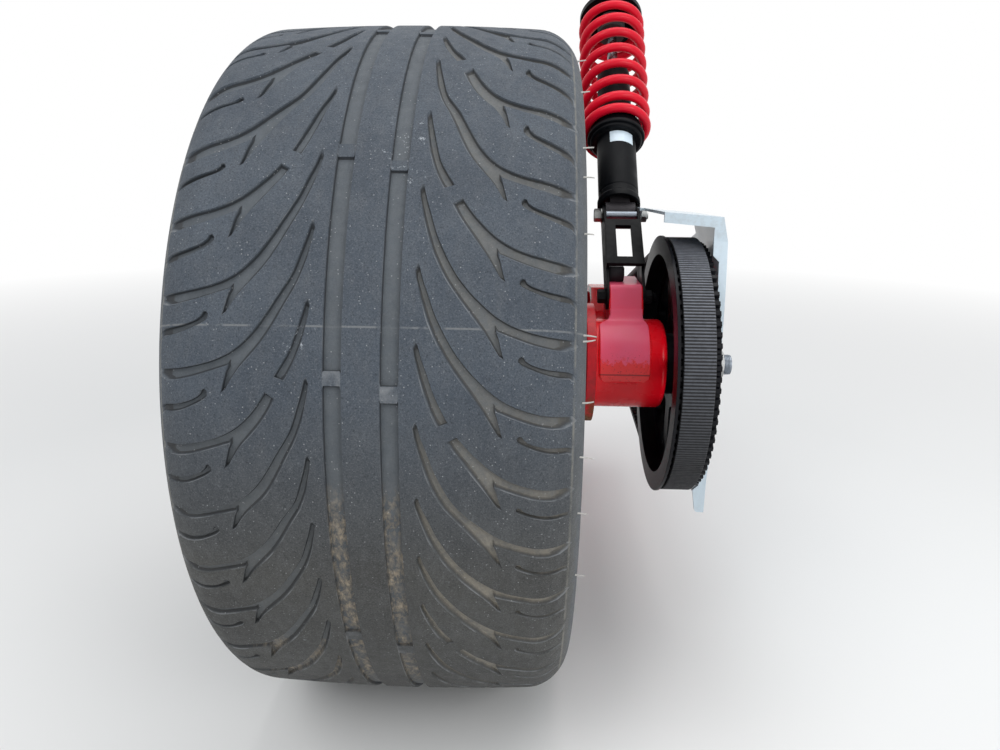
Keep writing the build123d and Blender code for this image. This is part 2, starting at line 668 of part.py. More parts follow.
def shock_tab():
    """Upright box for the lower bolt, welded on the arm and the housing."""
    left, right = TAB_CENTRE_X - TAB_WIDTH / 2, TAB_CENTRE_X + TAB_WIDTH / 2
    top = TAB_TOP_Z
    face = flat([
        (-9, BEAM_SEAT_Z + 4), (6, top - 5), (11, top), (TAB_FRONT_Y - 8, top), (TAB_FRONT_Y, top - 8),
        (TAB_FRONT_Y, BEAM_SEAT_Z), (20, BEAM_SEAT_Z),
    ])
    tab = slab(face, left, right) - ring(left, right, HOUSING_RADIUS)
    bolt = Pos(0, LOWER_BOLT_Y, LOWER_BOLT_Z) * ring(left - 1, right + 1, BOLT_RADIUS + BOLT_FIT)
    return tab - bolt


def housing_strap():
    """Bent strap that runs from the tab's rear face down over the back of the housing."""
    half = STRAP_WIDTH / 2
    outer = HOUSING_RADIUS + STRAP_THICKNESS
    band = Circle(outer) - Circle(HOUSING_RADIUS)
    sector = flat([(0, 0), (-24, 90), (-90, 90), (-90, -14), (0, -4)])
    return slab(band & sector, TAB_CENTRE_X - half, TAB_CENTRE_X + half)


def riser_frame():
    """Place of the lower bolt, with local X along the bracket towards the upper bolt."""
    dy, dz = CLEVIS_BOLT_Y - LOWER_BOLT_Y, CLEVIS_BOLT_Z - LOWER_BOLT_Z
    return Pos(LOWER_BOLT_Y, LOWER_BOLT_Z) * Rot(0, 0, degrees(atan2(dz, dy))), hypot(dy, dz)


def ear_sides():
    """Left and right ear of the riser bracket along X."""
    half = TAB_WIDTH / 2 + EAR_GAP
    left = (TAB_CENTRE_X - half - EAR_THICKNESS, TAB_CENTRE_X - half)
    right = (TAB_CENTRE_X + half, TAB_CENTRE_X + half + EAR_THICKNESS)
    return left, right


def spacer_spot(length):
    """Centre of the tube behind the shock's eye, in the bracket's own frame."""
    away = EYE_RADIUS + SPACER_RADIUS + SPACER_GAP
    angle = radians(SPACER_ANGLE)
    return Pos(length + away * cos(angle), away * sin(angle))


def riser_bracket():
    place, length = riser_frame()
    low = Circle(EAR_RADIUS_LOW)
    high = Pos(length, 0) * Circle(EAR_RADIUS_HIGH)
    behind = spacer_spot(length) * Circle(SPACER_RADIUS + SPACER_EAR_EDGE)
    web_mid = (RISER_WEB_START + RISER_WEB_END) / 2
    web_length = RISER_WEB_END - RISER_WEB_START
    depth = Pos(web_mid, RISER_WEB_OFFSET / 2) * Rectangle(web_length, RISER_WEB_OFFSET)
    ear = make_hull(low.edges() + high.edges() + behind.edges()) + depth
    web_middle = Pos(web_mid, RISER_WEB_OFFSET - RISER_WEB_THICKNESS / 2)
    web = web_middle * Rectangle(web_length, RISER_WEB_THICKNESS)
    left, right = ear_sides()
    bracket = slab(place * web, left[0], right[1])
    bracket += [slab(place * ear, *left), slab(place * ear, *right)]
    window = Rectangle(RISER_WINDOW_LENGTH, 2 * RISER_WEB_OFFSET)
    half = RISER_WINDOW_WIDTH / 2
    slot = place * Pos(web_mid, RISER_WEB_OFFSET) * window
    bracket -= slab(slot, TAB_CENTRE_X - half, TAB_CENTRE_X + half)
    for y, z in ((LOWER_BOLT_Y, LOWER_BOLT_Z), (CLEVIS_BOLT_Y, CLEVIS_BOLT_Z)):
        bracket -= Pos(0, y, z) * ring(left[0] - 1, right[1] + 1, BOLT_RADIUS + BOLT_FIT)
    return bracket


def riser_spacer():
    """Tube between the bracket's ears, just behind the shock's lower eye."""
    place, length = riser_frame()
    left, right = ear_sides()
    return slab(place * spacer_spot(length) * Circle(SPACER_RADIUS), left[1], right[0])


def cross_bolt(y, z, packing=0.0):
    """Hex bolt, nut and washers through both ears, with packing between the right ear and its washer."""
    left, right = ear_sides()
    washer_left, washer_right = left[0] - BOLT_WASHER_THICKNESS, right[1] + packing
    nut_x = washer_right + BOLT_WASHER_THICKNESS
    end = right[1] + GUARD_THICKNESS + BOLT_WASHER_THICKNESS + BOLT_NUT_HEIGHT + BOLT_STICKOUT
    bolt = hexagon(washer_left - BOLT_HEAD_HEIGHT, washer_left, BOLT_HEAD_ACROSS_FLATS)
    bolt += ring(washer_left, left[0], BOLT_WASHER_RADIUS)
    bolt += ring(washer_left - 1, end, BOLT_RADIUS)
    bolt += ring(washer_right, nut_x, BOLT_WASHER_RADIUS)
    bolt += hexagon(nut_x, nut_x + BOLT_NUT_HEIGHT, BOLT_HEAD_ACROSS_FLATS)
    return Pos(0, y, z) * bolt


def shock_place():
    return Pos(TAB_CENTRE_X, CLEVIS_BOLT_Y, CLEVIS_BOLT_Z) * Rot(-SHOCK_LEAN, 0, 0)


def upright(start, end, outer, inner=0.0):
    """Ring along the shock's own axis."""
    blank = Pos(0, 0, (start + end) / 2) * Cylinder(outer, end - start)
    if inner:
        blank -= Pos(0, 0, (start + end) / 2) * Cylinder(inner, end - start + 2)
    return blank


def eye(height, neck_to, bore):
    """Eye across the shock with a neck up or down to neck_to."""
    lug = Pos(0, 0, height) * Rot(0, 90, 0) * Cylinder(EYE_RADIUS, EYE_WIDTH)
    lug += Pos(0, 0, (height + neck_to) / 2) * Box(24, 24, abs(neck_to - height))
    return lug - Pos(0, 0, height) * Rot(0, 90, 0) * Cylinder(bore, EYE_WIDTH + 2)


def shock_lower_eye():
    return eye(0, BODY_START, BOLT_RADIUS + BOLT_FIT)


def shock_body():
    """Damper body with a slimmer neck inside the spring and an open skirt round the eye."""
    bore = ROD_RADIUS + RUNNING_GAP
    body = upright(BODY_START, PERCH_START + PERCH_THICKNESS, BODY_RADIUS, bore)
    body += upright(PERCH_START + PERCH_THICKNESS, BODY_END, BODY_NECK_RADIUS, bore)
    return body + upright(SKIRT_START, SKIRT_END, SKIRT_RADIUS, SKIRT_INNER_RADIUS) + upright(
        SKIRT_END, BODY_START, BODY_RADIUS, SKIRT_INNER_RADIUS)


def spring_perch():
    """Collar inside the spring's lowest turn, with the flange that carries it."""
    collar = upright(PERCH_START, PERCH_START + PERCH_THICKNESS, PERCH_RADIUS, BODY_RADIUS)
    flange_end = PERCH_FLANGE_START + PERCH_FLANGE_THICKNESS
    return collar + upright(PERCH_FLANGE_START, flange_end, PERCH_FLANGE_RADIUS, BODY_RADIUS)


def seat_span():
    """Lower and upper face of the top spring seat, placed from the top eye."""
    top = SHOCK_LENGTH - EYE_RADIUS - TOP_NECK
    return top - TOP_SEAT_THICKNESS, top


def spring_turns():
    """Turns between the closed ends, as many as the pitch gives between perch and seat."""
    flange_top = PERCH_FLANGE_START + PERCH_FLANGE_THICKNESS
    room = seat_span()[0] - flange_top - WIRE_DIAMETER - 2 * COIL_SEAT_GAP
    return (room - 2 * CLOSED_TURNS * (WIRE_DIAMETER + CLOSED_GAP)) / COIL_PITCH


def spring_height(turn):
    """Height of the wire's middle above its start after so many turns."""
    closed, active = WIRE_DIAMETER + CLOSED_GAP, spring_turns()
    low = min(turn, CLOSED_TURNS) * closed
    middle = min(max(turn - CLOSED_TURNS, 0), active) * COIL_PITCH
    return low + middle + max(turn - CLOSED_TURNS - active, 0) * closed


def shock_spring():
    """Coil that starts at the front of the perch's flange."""
    start = PERCH_FLANGE_START + PERCH_FLANGE_THICKNESS + COIL_SEAT_GAP + WIRE_DIAMETER / 2
    steps = round((spring_turns() + 2 * CLOSED_TURNS) * 20)
    points = []
    for i in range(steps + 1):
        turn = (spring_turns() + 2 * CLOSED_TURNS) * i / steps
        angle = 2 * pi * turn
        points.append((-COIL_RADIUS * sin(angle), COIL_RADIUS * cos(angle), start + spring_height(turn)))
    path = Polyline(*points)
    section = Plane(origin=path @ 0, z_dir=path % 0) * RegularPolygon(WIRE_DIAMETER / 2, 8)
    return sweep(section, path, transition=Transition.RIGHT)


def shock_rod():
    return upright(BODY_END - 60, SHOCK_LENGTH - EYE_RADIUS - 4, ROD_RADIUS)


def shock_top():
    """Upper spring seat with the upper eye, whose bore takes the frame's bolt."""
    seat, seat_top = seat_span()
    top = upright(seat, seat_top, COIL_RADIUS + 4, ROD_RADIUS)
    top += upright(seat_top, SHOCK_LENGTH - EYE_RADIUS + 2, 15, 0)
    top += eye(SHOCK_LENGTH, seat_top, EYE_BORE_RADIUS)
    return top - upright(seat - 1, SHOCK_LENGTH - EYE_RADIUS - 4, ROD_RADIUS)


def bump_stop():
    seat = seat_span()[0]
    return upright(seat - BUMP_STOP_LENGTH, seat, BUMP_STOP_RADIUS, ROD_RADIUS)


def guard_fall(y):
    """Height at y of the kink line, which falls towards the front."""
    return GUARD_KINK_Z - GUARD_FALL * (y - GUARD_REAR_Y)


def rear_edge(y_shift):
    """Bowed rear edge of the guard down to its straight tip, moved forward by y_shift."""
    rear, low = GUARD_REAR_Y + y_shift, GUARD_TIP_Z + 40
    bow = ThreePointArc((rear, GUARD_KINK_Z), (rear - GUARD_REAR_BOW, (GUARD_KINK_Z + low) / 2), (rear, low))
    return bow, Line((rear, low), (rear, GUARD_TIP_Z))


def guard_outline():
    """Side view of the guard plate below its kink, seen from the axle."""
    py, pz = PIVOT_FROM_AXLE
    front_y = GUARD_REAR_Y + GUARD_TOP_LENGTH
    # y, z of the corners behind the front pulley
    corners = ((GUARD_REAR_Y, GUARD_KINK_Z), (front_y, guard_fall(front_y)), (GUARD_REAR_Y, GUARD_TIP_Z))
    edges = (Pos(py, pz) * Circle(GUARD_FRONT_RADIUS)).edges()
    for y, z in corners:
        edges += (Pos(y, z) * Circle(0.05)).edges()
    bow, tail = rear_edge(0)
    return make_hull(edges) + make_face([bow, Line(bow @ 1, bow @ 0)])


def guard_lip():
    """Flange along the rear edge, cut back where it passes the pulley."""
    bow, tail = rear_edge(0)
    inner_bow, inner_tail = rear_edge(GUARD_THICKNESS)
    ends = Line(tail @ 1, inner_tail @ 1), Line(inner_bow @ 0, bow @ 0)
    band = make_face([bow, tail, ends[0], inner_tail, inner_bow, ends[1]])
    right, lip = GUARD_RIGHT_X, GUARD_RIGHT_X - GUARD_LIP
    relief = PULLEY_RIGHT_X + GUARD_LIP_CLEARANCE
    reach = sqrt((pulley_radii(DRIVEN_TEETH)[0] + GUARD_LIP_CLEARANCE) ** 2 - GUARD_REAR_Y**2)
    tip = GUARD_TIP_Z
    view = make_face(Polyline(
        (right, GUARD_KINK_Z), (lip, GUARD_KINK_Z), (lip, reach), (relief, reach - 6), (relief, 6 - reach),
        (lip, -reach), (lip + 4, tip), (right, tip), close=True))
    view = fillet(view.vertices().sort_by(Axis.Y)[:2], GUARD_TIP_ROUND - 0.6)
    return slab(band, lip - 1, right) & extrude(Plane.XZ * view, amount=200, both=True)


def guard_cap():
    """Bent top of the guard: a leaning strip and a leg to the left, with a lip at the rear."""
    right, left, top = GUARD_TOP_RIGHT_X, GUARD_TOP_LEFT_X, GUARD_TOP_Z
    wall, kink = GUARD_THICKNESS, GUARD_KINK_Z
    ear = ear_sides()[1][1]
    rise = GUARD_TOP_RISE / (right - left)
    plate, lip = GUARD_RIGHT_X, GUARD_RIGHT_X - GUARD_LIP
    high = top + rise * (right - ear)
    fold = [(plate, kink - wall), (plate, kink), (right, top), (ear, high), (ear, high - wall),
            (right - wall, top - wall), (plate - wall, kink), (plate - wall, kink - wall)]
    rear, front = GUARD_REAR_Y, GUARD_REAR_Y + GUARD_TOP_LENGTH
    end = front + GUARD_TONGUE
    sheet = Pos(0, rear, 0) * extrude(Plane.XZ * make_face(Polyline(*fold, close=True)), amount=rear - end)
    sheet -= block((ear - 1, left), (rear - 1, front), (kink, top + 20))
    sheet -= block((left + GUARD_TONGUE, plate + 1), (front, end + 1), (kink - 2 * wall, top + 20))
    under = top - GUARD_TOP_LIP
    face = [(plate, kink), (right, top), (left, top + GUARD_TOP_RISE), (left, under + GUARD_TOP_RISE),
            (lip, under), (lip, kink)]
    rear_lip = Pos(0, rear, 0) * extrude(Plane.XZ * make_face(Polyline(*face, close=True)), amount=-wall)
    tilt = Pos(0, rear, kink) * Rot(-degrees(atan2(GUARD_FALL, 1)), 0, 0) * Pos(0, -rear, -kink)
    return tilt * sheet + rear_lip


def guard_lug():
    """Upright lug under the nut of the riser bracket's upper bolt."""
    start = ear_sides()[1][1]
    front = GUARD_REAR_Y + GUARD_TOP_LENGTH
    leg_top = guard_fall(front) - GUARD_KINK_Z + GUARD_TOP_Z + GUARD_TOP_RISE
    round_end = Pos(CLEVIS_BOLT_Y, CLEVIS_BOLT_Z) * Circle(GUARD_LUG_RADIUS)
    foot = flat([(front + 1, leg_top - 3), (front + GUARD_TONGUE - 1, leg_top - 3),
                 (front + GUARD_TONGUE - 1, leg_top - 1), (front + 1, leg_top - 1)])
    lug = slab(make_hull(round_end.edges() + foot.edges()), start, start + GUARD_THICKNESS)
    return lug - Pos(0, CLEVIS_BOLT_Y, CLEVIS_BOLT_Z) * ring(start - 1, start + 4, BOLT_RADIUS + BOLT_FIT)


def belt_guard():
    inner_x = GUARD_RIGHT_X - GUARD_THICKNESS
    guard = slab(guard_outline(), inner_x, GUARD_RIGHT_X) + guard_lip() + guard_cap() + guard_lug()
    guard -= ring(inner_x - 1, GUARD_RIGHT_X + 1, NUT_HOLE_RADIUS)
    return guard - Pos(0, *PIVOT_FROM_AXLE) * ring(inner_x - 1, GUARD_RIGHT_X + 1, COUPLING_HOLE_RADIUS)


def guard_standoffs():
    """Posts between the arm and the guard, inside the belt's loop."""
    py, pz = PIVOT_FROM_AXLE
    places = ((REAR_POST_Y, REAR_POST_Z), (py - FRONT_POST_BEHIND_PIVOT, pz + FRONT_POST_OVER_PIVOT))
    end = GUARD_RIGHT_X - GUARD_THICKNESS
    return Compound([Pos(0, y, z) * ring(BEAM_RIGHT_X, end, STANDOFF_RADIUS) for y, z in places])


def write(name, solid):
    export_step(solid, f"parts/{name}.step")


# Nodes that are modelled round the axle and then moved to it
AXLE_NODES = {
    "tyre": tyre,
    "rim": rim,
    "axle_shaft": axle_shaft,
    "wheel_studs": wheel_studs,
    "lug_nuts": lug_nuts,
    "centre_cap": centre_cap,
    "valve_stem": valve_stem,
    "brake_disc": brake_disc,
    "brake_pads": brake_pads,
    "brake_caliper": brake_caliper,
    "caliper_bracket": caliper_bracket,
    "hub_housing": hub_housing,
    "bearing_carrier": bearing_carrier,
    "hub_bearings": hub_bearings,
    "driven_pulley": driven_pulley,
    "axle_washer": axle_washer,
    "axle_nut": axle_nut,
    "drive_belt": drive_belt,
    "swingarm_beam": swingarm_beam,
    "shock_tab": shock_tab,
    "housing_strap": housing_strap,
    "riser_bracket": riser_bracket,
    "riser_spacer": riser_spacer,
    "riser_bolt": lambda: cross_bolt(LOWER_BOLT_Y, LOWER_BOLT_Z),
    "clevis_bolt": lambda: cross_bolt(CLEVIS_BOLT_Y, CLEVIS_BOLT_Z, GUARD_THICKNESS),
    "belt_guard": belt_guard,
    "guard_standoffs": guard_standoffs,
}
# Nodes along the shock's own axis
SHOCK_NODES = {
    "shock_lower_eye": shock_lower_eye,
    "shock_body": shock_body,
    "spring_perch": spring_perch,
    "shock_spring": shock_spring,
    "shock_rod": shock_rod,
    "shock_top": shock_top,
    "bump_stop": bump_stop,
}
# Nodes round the pivot, which is the origin
PIVOT_NODES = {
    "pivot_tube": pivot_tube,
    "arm_brace": arm_brace,
    "drive_pulley": drive_pulley,
    "drive_bearing": drive_bearing,
    "spigot_collar": spigot_collar,
}

os.makedirs("parts", exist_ok=True)
for name, make in AXLE_NODES.items():
    write(name, AXLE * make())
for name, make in SHOCK_NODES.items():
    write(name, AXLE * shock_place() * make())
for name, make in PIVOT_NODES.items():
    write(name, make())
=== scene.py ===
import json
import math
import random

import bmesh
import bpy
import numpy as np
from mathutils import Matrix, Vector
from mathutils.geometry import delaunay_2d_cdt


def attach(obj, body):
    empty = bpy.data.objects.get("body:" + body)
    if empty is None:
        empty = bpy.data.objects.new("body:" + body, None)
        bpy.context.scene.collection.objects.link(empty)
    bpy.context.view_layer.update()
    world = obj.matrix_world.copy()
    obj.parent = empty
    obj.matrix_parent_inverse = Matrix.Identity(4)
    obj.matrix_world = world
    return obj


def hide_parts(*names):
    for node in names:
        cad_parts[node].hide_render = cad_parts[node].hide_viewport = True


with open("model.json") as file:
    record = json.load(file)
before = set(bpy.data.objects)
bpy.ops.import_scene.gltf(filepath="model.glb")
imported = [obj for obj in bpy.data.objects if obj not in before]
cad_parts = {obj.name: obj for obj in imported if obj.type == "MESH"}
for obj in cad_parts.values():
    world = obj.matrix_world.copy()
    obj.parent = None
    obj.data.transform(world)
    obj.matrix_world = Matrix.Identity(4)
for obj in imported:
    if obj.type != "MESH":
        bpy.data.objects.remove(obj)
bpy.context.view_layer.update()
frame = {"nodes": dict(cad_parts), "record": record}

NODES = frame["nodes"]
SCENE = bpy.context.scene

# Sizes in millimetres, as in the part's source
AXLE = (0.0, -480.0, 60.0)
TYRE_RADIUS = 345.5
TYRE_HALF_WIDTH = 158.2
CROWN_DROP = 6.0
SHOULDER_RADIUS = 38.2
SHOULDER_START = TYRE_HALF_WIDTH - SHOULDER_RADIUS
LINER_X, LINER_RADIUS = 60.0, 329.4
TOOTH_PITCH = 11.0
DRIVEN_TIP = 78 * TOOTH_PITCH / (2 * math.pi) - 1.3
DRIVE_TIP = 32 * TOOTH_PITCH / (2 * math.pi) - 1.3
TOOTH_HEIGHT = 4.2
BELT_LEFT_X, BELT_RIGHT_X = 261.7, 292.5
BELT_GAP, BELT_THICKNESS = 0.4, 4.3
SHOCK_LEAN = math.radians(43.4)
SHOCK_FOOT = (221.0, AXLE[1] + 116.5, AXLE[2] + 153.0)
HOUSING_RADIUS = 49.5
DAMPER_RADIUS = 24.5


def make_camera():
    """Camera fitted to the tyre's outline in the photograph."""
    yaw, pitch, roll = (math.radians(a) for a in (-2.427, -16.667, 0.422))
    ahead = Vector((math.sin(yaw) * math.cos(pitch), math.cos(yaw) * math.cos(pitch), math.sin(pitch)))
    right = Vector((math.cos(yaw), -math.sin(yaw), 0))
    up = right.cross(ahead)
    right, up = (math.cos(roll) * right + math.sin(roll) * up, -math.sin(roll) * right + math.cos(roll) * up)
    data = bpy.data.cameras.new("camera")
    data.sensor_width = 36
    data.lens = 27.56
    data.clip_start = 0.02
    camera = bpy.data.objects.new("camera", data)
    SCENE.collection.objects.link(camera)
    turn = Matrix((right, up, -ahead)).transposed()
    camera.matrix_world = Matrix.Translation((0.11784, -1.316, 0.29317)) @ turn.to_4x4()
    SCENE.camera = camera


make_camera()


# Node materials
class Nodes:
    """Short calls to add and join the nodes of a tree."""

    def __init__(self, tree):
        self.tree = tree

    def put(self, socket, value):
        if isinstance(value, bpy.types.NodeSocket):
            self.tree.links.new(value, socket)
        else:
            socket.default_value = value

    def node(self, kind, inputs=None, **settings):
        """A node with its own settings; inputs are values or sockets by name or number."""
        node = self.tree.nodes.new(kind)
        for key, value in settings.items():
            setattr(node, key, value)
        for key, value in (inputs or {}).items():
            self.put(node.inputs[key], value)
        return node

    def math(self, operation, a, b=0.0):
        return self.node("ShaderNodeMath", {0: a, 1: b}, operation=operation).outputs[0]

    def glow(self, kind):
        return self.node(kind, {"Color": (1, 1, 1, 1), "Strength": 1.0}).outputs[0]

    def seen(self):
        """1 for rays that meet a surface from the camera, by a reflection or through glass."""
        rays = self.node("ShaderNodeLightPath").outputs
        either = self.math("MAXIMUM", rays["Is Camera Ray"], rays["Is Glossy Ray"])
        return self.math("MAXIMUM", either, rays["Is Transmission Ray"])

    def blend(self, share, one, two, output):
        self.put(output, self.node("ShaderNodeMixShader", {0: share, 1: one, 2: two}).outputs[0])


class Graph(Nodes):
    """A material's nodes, with lengths in metres in the frame's axes."""

    def __init__(self, name):
        self.material = bpy.data.materials.new(name)
        self.material.use_nodes = True
        super().__init__(self.material.node_tree)
        self.shader = self.tree.nodes["Principled BSDF"]
        self.coords = self.node("ShaderNodeTexCoord").outputs["Object"]

    def noise(self, scale, detail=4.0, rough=0.55, distort=0.0, coords=None, stretch=None):
        coords = coords or self.coords
        if stretch:
            coords = self.node("ShaderNodeMapping", {"Scale": stretch, "Vector": coords}).outputs["Vector"]
        inputs = {"Vector": coords, "Scale": scale, "Detail": detail, "Roughness": rough,
                  "Distortion": distort}
        return self.node("ShaderNodeTexNoise", inputs).outputs["Fac"]

    def voronoi(self, scale):
        node = self.node("ShaderNodeTexVoronoi", {"Vector": self.coords, "Scale": scale})
        return node.outputs["Distance"]

    def ramp(self, value, low, high, start=0.0, end=1.0):
        inputs = {"Value": value, "From Min": low, "From Max": high, "To Min": start, "To Max": end}
        return self.node("ShaderNodeMapRange", inputs).outputs["Result"]

    def times(self, *factors):
        product = factors[0]
        for factor in factors[1:]:
            product = self.math("MULTIPLY", product, factor)
        return product

    def line(self, value, centre, outer, inner):
        """1 within inner of the centre, falling to 0 at outer."""
        return self.ramp(self.math("ABSOLUTE", self.math("SUBTRACT", value, centre)), outer, inner)

    def mix(self, share, a, b):
        a, b = (c if isinstance(c, bpy.types.NodeSocket) else (*c, 1) for c in (a, b))
        return self.node("ShaderNodeMix", {0: share, 6: a, 7: b}, data_type="RGBA").outputs[2]

    def over(self, base, colour, mask, amount):
        """A colour laid over the base where the mask is, at most by the amount."""
        return self.mix(self.times(mask, amount), base, colour)

    def axis(self, letter):
        return self.node("ShaderNodeSeparateXYZ", {0: self.coords}).outputs[letter]

    def upward(self):
        """1 where the surface looks up, 0 where it looks down."""
        normal = self.node("ShaderNodeNewGeometry").outputs["Normal"]
        return self.ramp(self.node("ShaderNodeSeparateXYZ", {0: normal}).outputs["Z"], -0.2, 0.9)

    def edges(self):
        """1 on outer edges, from the mesh's curvature."""
        return self.ramp(self.node("ShaderNodeNewGeometry").outputs["Pointiness"], 0.52, 0.6)

    def attribute(self, name):
        return self.node("ShaderNodeAttribute", attribute_name=name).outputs["Fac"]

    def bump(self, height, strength, distance):
        """A bump on top of those that the shader has."""
        normal = self.shader.inputs["Normal"]
        node = self.node("ShaderNodeBump", {"Height": height, "Strength": strength, "Distance": distance})
        if normal.links:
            self.put(node.inputs["Normal"], normal.links[0].from_socket)
        self.put(normal, node.outputs["Normal"])

    def set(self, **values):
        for key, value in values.items():
            self.put(self.shader.inputs[key.replace("_", " ")], value)


def shade(colour, factor):
    return tuple(min(1.0, c * factor) for c in colour)


def paint(name, colour, rough, dust, coat=0.0, coat_rough=0.08, dust_colour=(0.30, 0.27, 0.23),
          wear=0.0, wear_colour=(0.35, 0.34, 0.33), mottled=0.12, specular=0.5):
    """Paint or powder coat with orange peel, settled dust, faint mottling and worn edges."""
    g = Graph(name)
    mottle = g.ramp(g.noise(18, 5), 0.35, 0.7)
    base = g.mix(mottle, shade(colour, 1 - mottled), shade(colour, 1 + mottled * 0.8))
    specks = g.ramp(g.noise(900, 2, 0.7), 0.62, 0.72)
    settled = g.times(g.ramp(g.noise(55, 6, 0.65), 0.42, 0.75), g.upward())
    film = g.times(g.math("ADD", g.times(settled, 0.8), g.times(specks, 0.5)), dust)
    base = g.mix(film, base, dust_colour)
    if wear:
        worn = g.times(g.edges(), g.ramp(g.noise(140, 5, 0.7), 0.45, 0.62))
        base = g.over(base, wear_colour, worn, wear)
    g.set(Base_Color=base, Coat_Weight=coat, Coat_Roughness=coat_rough, Specular_IOR_Level=specular)
    uneven = g.math("ADD", g.noise(40, 5), film)
    g.set(Roughness=g.ramp(uneven, 0.3, 1.0, rough * 0.85, min(1, rough * 1.5 + 0.1)))
    g.bump(g.noise(260, 2, 0.4), 0.12, 0.0004)
    return g.material


def metal(name, colour, rough, stain, stain_colour=(0.16, 0.13, 0.10), grain=0.25, stretch=(1, 1, 1),
          metallic=1.0, specular=0.5):
    """Bare or plated metal with a fine grain, blotches and grime."""
    g = Graph(name)
    blotch = g.ramp(g.noise(60, 6, 0.65), 0.35, 0.75)
    base = g.mix(blotch, shade(colour, 0.82), shade(colour, 1.1))
    grime = g.times(g.ramp(g.noise(24, 7, 0.7, 0.4), 0.48, 0.72), stain)
    g.set(Base_Color=g.mix(grime, base, stain_colour), Metallic=metallic, Specular_IOR_Level=specular)
    fine = g.noise(700, 3, 0.6, stretch=stretch)
    g.set(Roughness=g.ramp(g.math("ADD", fine, grime), 0.2, 1.2, rough * 0.75, min(1, rough * 1.7)))
    g.bump(fine, grain, 0.0002)
    return g.material


# Values at the tread's points, which its material reads
TYRE_FIELDS = ("depth", "soil", "flank", "low", "mud")


def tyre_rubber():
    """Worn road rubber, blue grey above and browner below as painted sky and ground light, gritty, with dirt
    in its grooves and painted shade down their walls.
    """
    g = Graph("tyre_rubber")
    deep, soil, flank, low, mud = (g.attribute(key) for key in TYRE_FIELDS)
    # painted light: blue grey above for sky light, and a browner tone below, laid by the low field, for
    # ground light
    base = g.mix(g.ramp(g.noise(14, 6, 0.6), 0.35, 0.7), (0.046, 0.058, 0.075), (0.064, 0.079, 0.099))
    ground_lit_tone = g.mix(g.ramp(g.noise(18, 6, 0.6), 0.35, 0.7), (0.046, 0.046, 0.044), (0.062, 0.062, 0.058))
    base = g.mix(low, base, ground_lit_tone)
    streaks = g.ramp(g.noise(60, 6, 0.7, stretch=(1.6, 0.7, 0.7)), 0.45, 0.75)
    base = g.over(base, (0.125, 0.13, 0.135), streaks, 0.25)
    grit = g.noise(800, 4, 0.85)
    base = g.mix(g.ramp(grit, 0.55, 0.72, 0.0, 0.6), base, (0.20, 0.215, 0.23))
    base = g.mix(g.ramp(grit, 0.47, 0.34, 0.0, 0.85), base, (0.012, 0.014, 0.018))
    base = g.over(base, (0.15, 0.155, 0.155), flank, 0.3)
    # pale lines along the grooves' upper edges
    rims = g.times(g.ramp(deep, 0.0, 0.05), g.ramp(deep, 0.30, 0.16))
    rims = g.times(rims, g.ramp(g.noise(45, 4, 0.6), 0.40, 0.60))
    base = g.over(base, (0.24, 0.25, 0.26), rims, 0.6)
    # parting line of the mould, at its angle above the rear horizontal
    up = g.math("SUBTRACT", g.axis("Z"), AXLE[2] / 1000)
    back = g.math("SUBTRACT", AXLE[1] / 1000, g.axis("Y"))
    seam = g.line(g.math("ARCTAN2", up, back), math.radians(19.1), 0.0026, 0.0014)
    base = g.over(base, (0.27, 0.275, 0.27), g.times(seam, g.ramp(g.noise(70, 3), 0.38, 0.5)), 0.4)
    # dusted rim where the tread ends at the flank
    rim = g.line(g.math("ABSOLUTE", g.axis("X")), 0.1487, 0.0012, 0.0004)
    base = g.over(base, (0.23, 0.22, 0.19), g.times(rim, g.ramp(g.noise(50, 5, 0.7), 0.35, 0.6)), 0.6)
    clean_floor = g.mix(g.ramp(g.noise(90, 6, 0.7), 0.3, 0.7), (0.060, 0.074, 0.090), (0.098, 0.114, 0.130))
    base = g.over(base, clean_floor, deep, 0.75)
    # painted shade down the grooves' walls, darkest at mid depth
    painted_wall_shade = g.times(g.ramp(deep, 0.3, 0.5), g.ramp(deep, 0.99, 0.9))
    base = g.over(base, (0.010, 0.012, 0.016), painted_wall_shade, 0.75)
    dusty = g.times(deep, soil, g.ramp(g.noise(120, 6, 0.75), 0.25, 0.55, 0.3, 1.0))
    base = g.mix(dusty, base, g.mix(g.noise(400, 4, 0.7), (0.13, 0.119, 0.098), (0.31, 0.285, 0.24)))
    lumps = g.ramp(g.noise(240, 7, 0.75, 0.1, stretch=(1, 0.55, 0.55)), 0.42, 0.60)
    mud = g.times(mud, lumps, g.ramp(g.noise(30, 4, 0.6), 0.32, 0.56))
    base = g.mix(mud, base, g.mix(g.noise(300, 4, 0.7), (0.13, 0.095, 0.062), (0.50, 0.44, 0.345)))
    specks = g.times(g.ramp(g.voronoi(260), 0.15, 0.06), g.ramp(g.noise(60, 3), 0.46, 0.54))
    base = g.over(base, (0.36, 0.37, 0.38), specks, 0.7)
    splash = g.times(g.ramp(g.noise(240, 4, 0.8), 0.60, 0.66), g.ramp(g.noise(16, 2), 0.66, 0.72))
    base = g.over(base, (0.40, 0.43, 0.46), splash, 0.8)
    g.set(Base_Color=base, Specular_IOR_Level=0.35)
    g.set(Roughness=g.math("ADD", g.ramp(g.noise(120, 5, 0.6), 0.3, 0.7, 0.58, 0.80), g.times(soil, 0.12)))
    g.bump(grit, 0.65, 0.0005)
    g.bump(g.noise(260, 5, 0.75), 0.35, 0.0007)
    g.bump(mud, 0.7, 0.0012)
    return g.material


def nib_rubber():
    """Thin rubber, bleached and dusty."""
    g = Graph("nib_rubber")
    g.set(Base_Color=g.mix(g.noise(300, 3), (0.30, 0.29, 0.27), (0.62, 0.61, 0.58)), Roughness=0.6)
    return g.material


